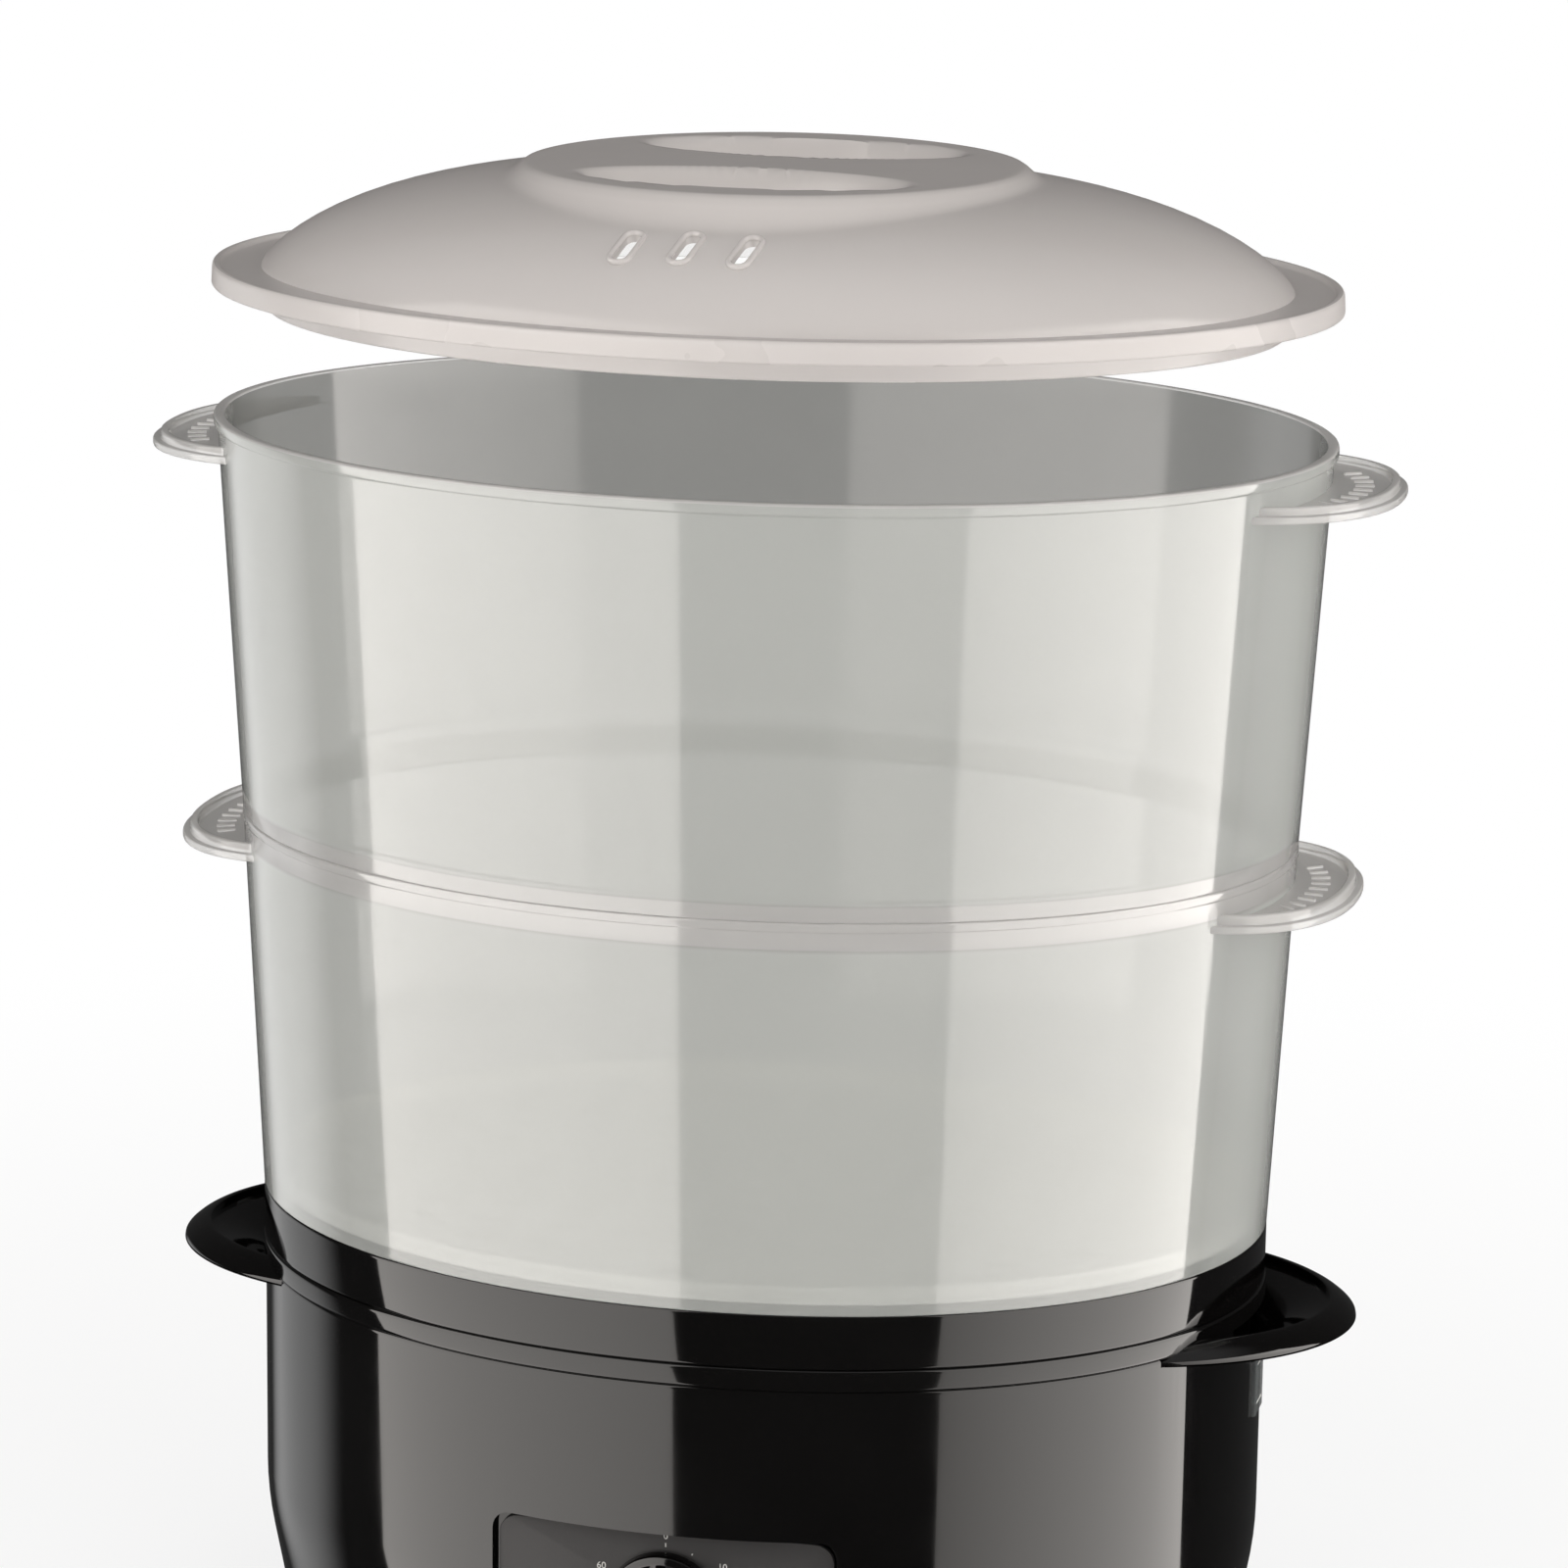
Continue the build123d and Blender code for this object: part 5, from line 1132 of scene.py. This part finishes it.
def make_lens():
    y_back = high("lamp_lens").y
    depth = y_back - low("lamp_lens").y
    lens = spindle("lens_cap", turned([
        (3.4, 0.0, 0.3),
        (3.5, depth - 1.3, 0.2),
        (4.3, depth - 1.2, 0.2),
        (4.2, depth - 0.5, 0.6),
        (2.4, depth - 0.1, 1.0),
        (0.3, depth, 0.0),
    ]), 64)
    place(lens, (middle("lamp_lens").x, y_back, middle("lamp_lens").z), TO_FRONT)
    finish(lens, "base", "ruby_lens", ["lamp_lens"])


def make_gauge():
    """Water gauge window with two printed level marks."""
    lo, hi = low("water_window"), high("water_window")
    window = slab("gauge_window", (lo.x, hi.x), (lo.y, hi.y), (lo.z, hi.z), rounding=0.5)
    finish(window, "base", "clear_gauge", ["water_window"])
    marks = joined(*[
        slab("level", (hi.x - 0.02, hi.x + INK), (-3.5, 3.5), (z_line - 0.25, z_line + 0.25))
        for z_line in (lo.z + 3.5, hi.z - 3.5)
    ])
    marks.name = "level_marks"
    finish(marks, "base", "dial_print")


def make_bush():
    y_inner = low("cord_gland").y
    depth = high("cord_gland").y - y_inner
    bush = hoop("cord_bush", turned([
        (3.8, 0.0, 0.5),
        (7.0, 0.0, 0.5),
        (7.0, depth - 2.0, 0.3),
        (9.5, depth - 2.0, 0.4),
        (9.3, depth, 1.0),
        (3.8, depth, 1.0),
    ], closed=True), 64)
    place(bush, (0, y_inner, middle("cord_gland").z), (-90, 0, 0))
    finish(bush, "base", "matt_rubber", ["cord_gland"])


def make_feet():
    hi = high("rubber_feet")
    feet = []
    for x in (FOOT_RADIUS - hi.x, hi.x - FOOT_RADIUS):
        for y in (FOOT_RADIUS - hi.y, hi.y - FOOT_RADIUS):
            foot = spindle("foot", turned([
                (4.5, 0.9, 0.0),
                (6.0, 0.0, 0.6),
                (8.2, 0.0, 0.8),
                (FOOT_RADIUS, 1.2, 0.8),
                (FOOT_RADIUS, Z_BODY - 0.05, 0.3),
                (3.0, Z_BODY - 0.05, 0.2),
                (3.0, hi.z - 0.8, 0.3),
                (2.4, hi.z, 0.0),
            ]), ROUND)
            feet.append(place(foot, (x, y, 0)))
    finish(joined(*feet), "base", "matt_rubber", ["rubber_feet"]).name = "foot_pads"


# ---- stage ----
AZIMUTH, ELEVATION, DISTANCE, ROLL, LENS = 13.8017, 13.2969, 1.61279, 0.7779, 136.556
AIM_ACROSS, AIM_HEIGHT = 0.0045885, 0.235132
PANEL_DISTANCE, PANEL_FOOT = 1.2, -1.2
FLOOR_GREY = (0.86, 0.86, 0.855, 1)
ROOM_LIGHT = 0.45
BACKDROP = ((-0.875, 0.426, -0.230), (0.90, 0.985), 0.8)
OVERHEAD = ((0.054, -0.219, 0.974), (0.80, 0.95), 0.35)


def make_camera():
    turn, lift, roll = radians(AZIMUTH), radians(ELEVATION), radians(ROLL)
    back = Vector((sin(turn) * cos(lift), -cos(turn) * cos(lift), sin(lift)))
    right = (-back).cross(Vector((0, 0, 1))).normalized()
    up = right.cross(-back)
    right, up = right * cos(roll) + up * sin(roll), up * cos(roll) - right * sin(roll)
    target = Vector((AIM_ACROSS * cos(turn), AIM_ACROSS * sin(turn), AIM_HEIGHT))
    bpy.ops.object.camera_add()
    camera = bpy.context.object
    camera.name = "Camera"
    camera.data.lens = LENS
    camera.data.sensor_width = 36
    matrix = Matrix((right, up, back)).transposed().to_4x4()
    matrix.translation = target + back * DISTANCE
    camera.matrix_world = matrix
    bpy.context.scene.camera = camera


def light_panel(name, azimuths, radiances, glossy, z_high=1.7):
    """Large upright light panel between two azimuths, counted from the front towards +X.

    Its radiance runs from one edge to the other. A glossy panel shows in polished surfaces and
    lights nothing else; a soft one is the other way round."""
    centre = radians(sum(azimuths) / 2)
    width = 2 * PANEL_DISTANCE * sin(radians(azimuths[1] - azimuths[0]) / 2)
    height = z_high - PANEL_FOOT
    way = Vector((sin(centre), -cos(centre), 0))
    clear_selection()
    spot = way * PANEL_DISTANCE + Vector((0, 0, (PANEL_FOOT + z_high) / 2))
    bpy.ops.object.light_add(type="AREA", location=spot)
    panel = bpy.context.object
    panel.name = name
    panel.rotation_mode = "QUATERNION"
    panel.rotation_quaternion = (-way).to_track_quat("-Z", "Y")
    panel.visible_camera = False
    panel.visible_diffuse = not glossy
    panel.visible_glossy = glossy
    light = panel.data
    light.shape = "RECTANGLE"
    light.size, light.size_y = width, height
    light.energy = pi * width * height
    light.color = (1.0, 0.96, 0.92) if glossy else (1.0, 0.98, 0.96)
    light.cycles.use_multiple_importance_sampling = glossy
    light.use_nodes = True
    tree = light.node_tree
    lamp = next(node for node in tree.nodes if node.type == "EMISSION")
    across = add(tree, "SeparateXYZ", Vector=add(tree, "NewGeometry").outputs["Parametric"]).outputs["X"]
    feed(lamp.inputs["Strength"], ramp(tree, across, least=radiances[0], most=radiances[1]))


def make_world():
    """White for what is seen directly and through glass, pale glows for reflections, a dim room light."""
    world = bpy.data.worlds.new("studio")
    bpy.context.scene.world = world
    tree = fresh_tree(world)
    path = add(tree, "LightPath").outputs
    view = add(tree, "TexCoord").outputs["Generated"]

    def glow(direction, reach, strength):
        """Glow round a direction, which fades in between two cosines."""
        towards = calculate(tree, "DOT_PRODUCT", view, direction, kind="VectorMath")
        return ramp(tree, towards, *reach, 0.04, strength, smooth=True)

    glows = calculate(tree, "MAXIMUM", glow(*BACKDROP), glow(*OVERHEAD))
    mirrored = calculate(tree, "MULTIPLY", path["Is Glossy Ray"], glows)
    lit = calculate(tree, "MULTIPLY_ADD", path["Is Glossy Ray"], -ROOM_LIGHT, ROOM_LIGHT)
    seen = calculate(tree, "MAXIMUM", path["Is Camera Ray"], path["Is Transmission Ray"])
    strength = calculate(tree, "MAXIMUM", calculate(tree, "MAXIMUM", mirrored, lit), seen)
    background = add(tree, "Background", Color=(1, 1, 1, 1), Strength=strength)
    add(tree, "OutputWorld", Surface=background.outputs["Background"])


def make_floor():
    """Grey floor that fades to white with the distance."""
    clear_selection()
    bpy.ops.mesh.primitive_plane_add(size=12, location=(0, 0, 0))
    floor = bpy.context.object
    floor.name = "floor"
    material = bpy.data.materials.new("pale_floor")
    tree = fresh_tree(material)
    spot = add(tree, "TexCoord").outputs["Object"]
    away = calculate(tree, "LENGTH", spot, kind="VectorMath")
    fade = ramp(tree, away, 0.22, 0.75, 0.8, smooth=True)
    share = calculate(tree, "MULTIPLY", fade, add(tree, "LightPath").outputs["Is Camera Ray"])
    mix = add(tree, "MixShader", Fac=share)
    feed(mix.inputs[1], add(tree, "BsdfDiffuse", Color=FLOOR_GREY).outputs["BSDF"])
    feed(mix.inputs[2], add(tree, "Emission").outputs["Emission"])
    add(tree, "OutputMaterial", Surface=mix.outputs["Shader"])
    floor.data.materials.append(material)
    floor.visible_glossy = False


def make_stage():
    make_floor()
    make_world()
    light_panel("left_soft", (-75.0, 3.0), (1.5, 1.5), glossy=False)
    light_panel("right_soft", (17.0, 105.0), (1.5, 1.5), glossy=False)
    light_panel("left_back_soft", (-150.0, -95.0), (0.6, 0.6), glossy=False, z_high=0.9)
    light_panel("right_back_soft", (105.0, 165.0), (1.9, 1.9), glossy=False, z_high=0.9)
    light_panel("left_gloss", (-80.0, -5.0), (3.0, 1.9), glossy=True)
    light_panel("right_gloss", (27.0, 117.0), (1.4, 4.3), glossy=True)
    make_camera()
    scene = bpy.context.scene
    scene.view_settings.view_transform = "Standard"
    scene.cycles.transparent_max_bounces = 32


# ---- operators and panel ----
class Undoable:
    """What the operators share."""

    bl_options = {"REGISTER", "UNDO"}


class STEAMER_OT_stage(Undoable, bpy.types.Operator):
    """Makes the floor, the light panels, the world and the camera"""

    bl_idname = "steamer.stage"
    bl_label = "Stage"

    def execute(self, context):
        make_stage()
        return {"FINISHED"}


class STEAMER_OT_kept_nodes(Undoable, bpy.types.Operator):
    """Paints the parts that stay as they are"""

    bl_idname = "steamer.kept_nodes"
    bl_label = "Inner Parts"

    def execute(self, context):
        paint_kept_nodes()
        return {"FINISHED"}


class STEAMER_OT_lid(Undoable, bpy.types.Operator):
    """Makes the domed lid with its crown, grip pockets and steam vents"""

    bl_idname = "steamer.lid"
    bl_label = "Lid"

    def execute(self, context):
        make_lid()
        return {"FINISHED"}


class STEAMER_OT_upper_bowl(Undoable, bpy.types.Operator):
    """Makes the upper bowl with its two ears"""

    bl_idname = "steamer.upper_bowl"
    bl_label = "Upper Bowl"

    def execute(self, context):
        make_upper_bowl()
        return {"FINISHED"}


class STEAMER_OT_lower_bowl(Undoable, bpy.types.Operator):
    """Makes the lower bowl with its two ears"""

    bl_idname = "steamer.lower_bowl"
    bl_label = "Lower Bowl"

    def execute(self, context):
        make_lower_bowl()
        return {"FINISHED"}


class STEAMER_OT_collector(Undoable, bpy.types.Operator):
    """Makes the juice collector with its collar"""

    bl_idname = "steamer.collector"
    bl_label = "Juice Collector"

    def execute(self, context):
        make_collector()
        return {"FINISHED"}


class STEAMER_OT_housing(Undoable, bpy.types.Operator):
    """Makes the ring, the tank and the fill scoops"""

    bl_idname = "steamer.housing"
    bl_label = "Base Housing"

    def execute(self, context):
        make_housing()
        return {"FINISHED"}


class STEAMER_OT_casing(Undoable, bpy.types.Operator):
    """Makes the lower casing with its control recess"""

    bl_idname = "steamer.casing"
    bl_label = "Base Casing"

    def execute(self, context):
        make_casing()
        return {"FINISHED"}


class STEAMER_OT_fascia(Undoable, bpy.types.Operator):
    """Makes the control fascia"""

    bl_idname = "steamer.fascia"
    bl_label = "Fascia"

    def execute(self, context):
        make_fascia()
        return {"FINISHED"}


class STEAMER_OT_dial(Undoable, bpy.types.Operator):
    """Makes the minute marks and numbers round the knob"""

    bl_idname = "steamer.dial"
    bl_label = "Dial Print"

    def execute(self, context):
        make_dial_print()
        return {"FINISHED"}


class STEAMER_OT_knob(Undoable, bpy.types.Operator):
    """Makes the fluted timer knob and its pointer"""

    bl_idname = "steamer.knob"
    bl_label = "Timer Knob"

    def execute(self, context):
        make_knob()
        return {"FINISHED"}


class STEAMER_OT_fittings(Undoable, bpy.types.Operator):
    """Makes the lamp lens, the water gauge window and the cord bush"""

    bl_idname = "steamer.fittings"
    bl_label = "Small Fittings"

    def execute(self, context):
        make_lens()
        make_gauge()
        make_bush()
        return {"FINISHED"}


class STEAMER_OT_feet(Undoable, bpy.types.Operator):
    """Makes the four rubber feet"""

    bl_idname = "steamer.feet"
    bl_label = "Feet"

    def execute(self, context):
        make_feet()
        return {"FINISHED"}


OPERATORS = [
    STEAMER_OT_stage,
    STEAMER_OT_kept_nodes,
    STEAMER_OT_lid,
    STEAMER_OT_upper_bowl,
    STEAMER_OT_lower_bowl,
    STEAMER_OT_collector,
    STEAMER_OT_housing,
    STEAMER_OT_casing,
    STEAMER_OT_fascia,
    STEAMER_OT_dial,
    STEAMER_OT_knob,
    STEAMER_OT_fittings,
    STEAMER_OT_feet,
]


class STEAMER_PT_panel(bpy.types.Panel):
    """Lists the steamer's operators and values"""

    bl_label = "Steamer"
    bl_space_type = "VIEW_3D"
    bl_region_type = "UI"
    bl_category = "Steamer"

    def draw(self, context):
        for made in OPERATORS:
            self.layout.operator(made.bl_idname)
        for group_name in ("steamer_sizes", "steamer_colours"):
            values = getattr(context.scene, group_name)
            box = self.layout.box()
            for value in values.__annotations__:
                box.prop(values, value)


CLASSES = [SteamerSizes, SteamerColours, *OPERATORS, STEAMER_PT_panel]


def register():
    for cls in CLASSES:
        bpy.utils.register_class(cls)
    bpy.types.Scene.steamer_sizes = bpy.props.PointerProperty(type=SteamerSizes)
    bpy.types.Scene.steamer_colours = bpy.props.PointerProperty(type=SteamerColours)


def unregister():
    del bpy.types.Scene.steamer_colours
    del bpy.types.Scene.steamer_sizes
    for cls in reversed(CLASSES):
        bpy.utils.unregister_class(cls)


def main():
    register()
    for made in OPERATORS:
        name = made.bl_idname.split(".")[1]
        getattr(bpy.ops.steamer, name)()


if __name__ == "__main__":
    main()
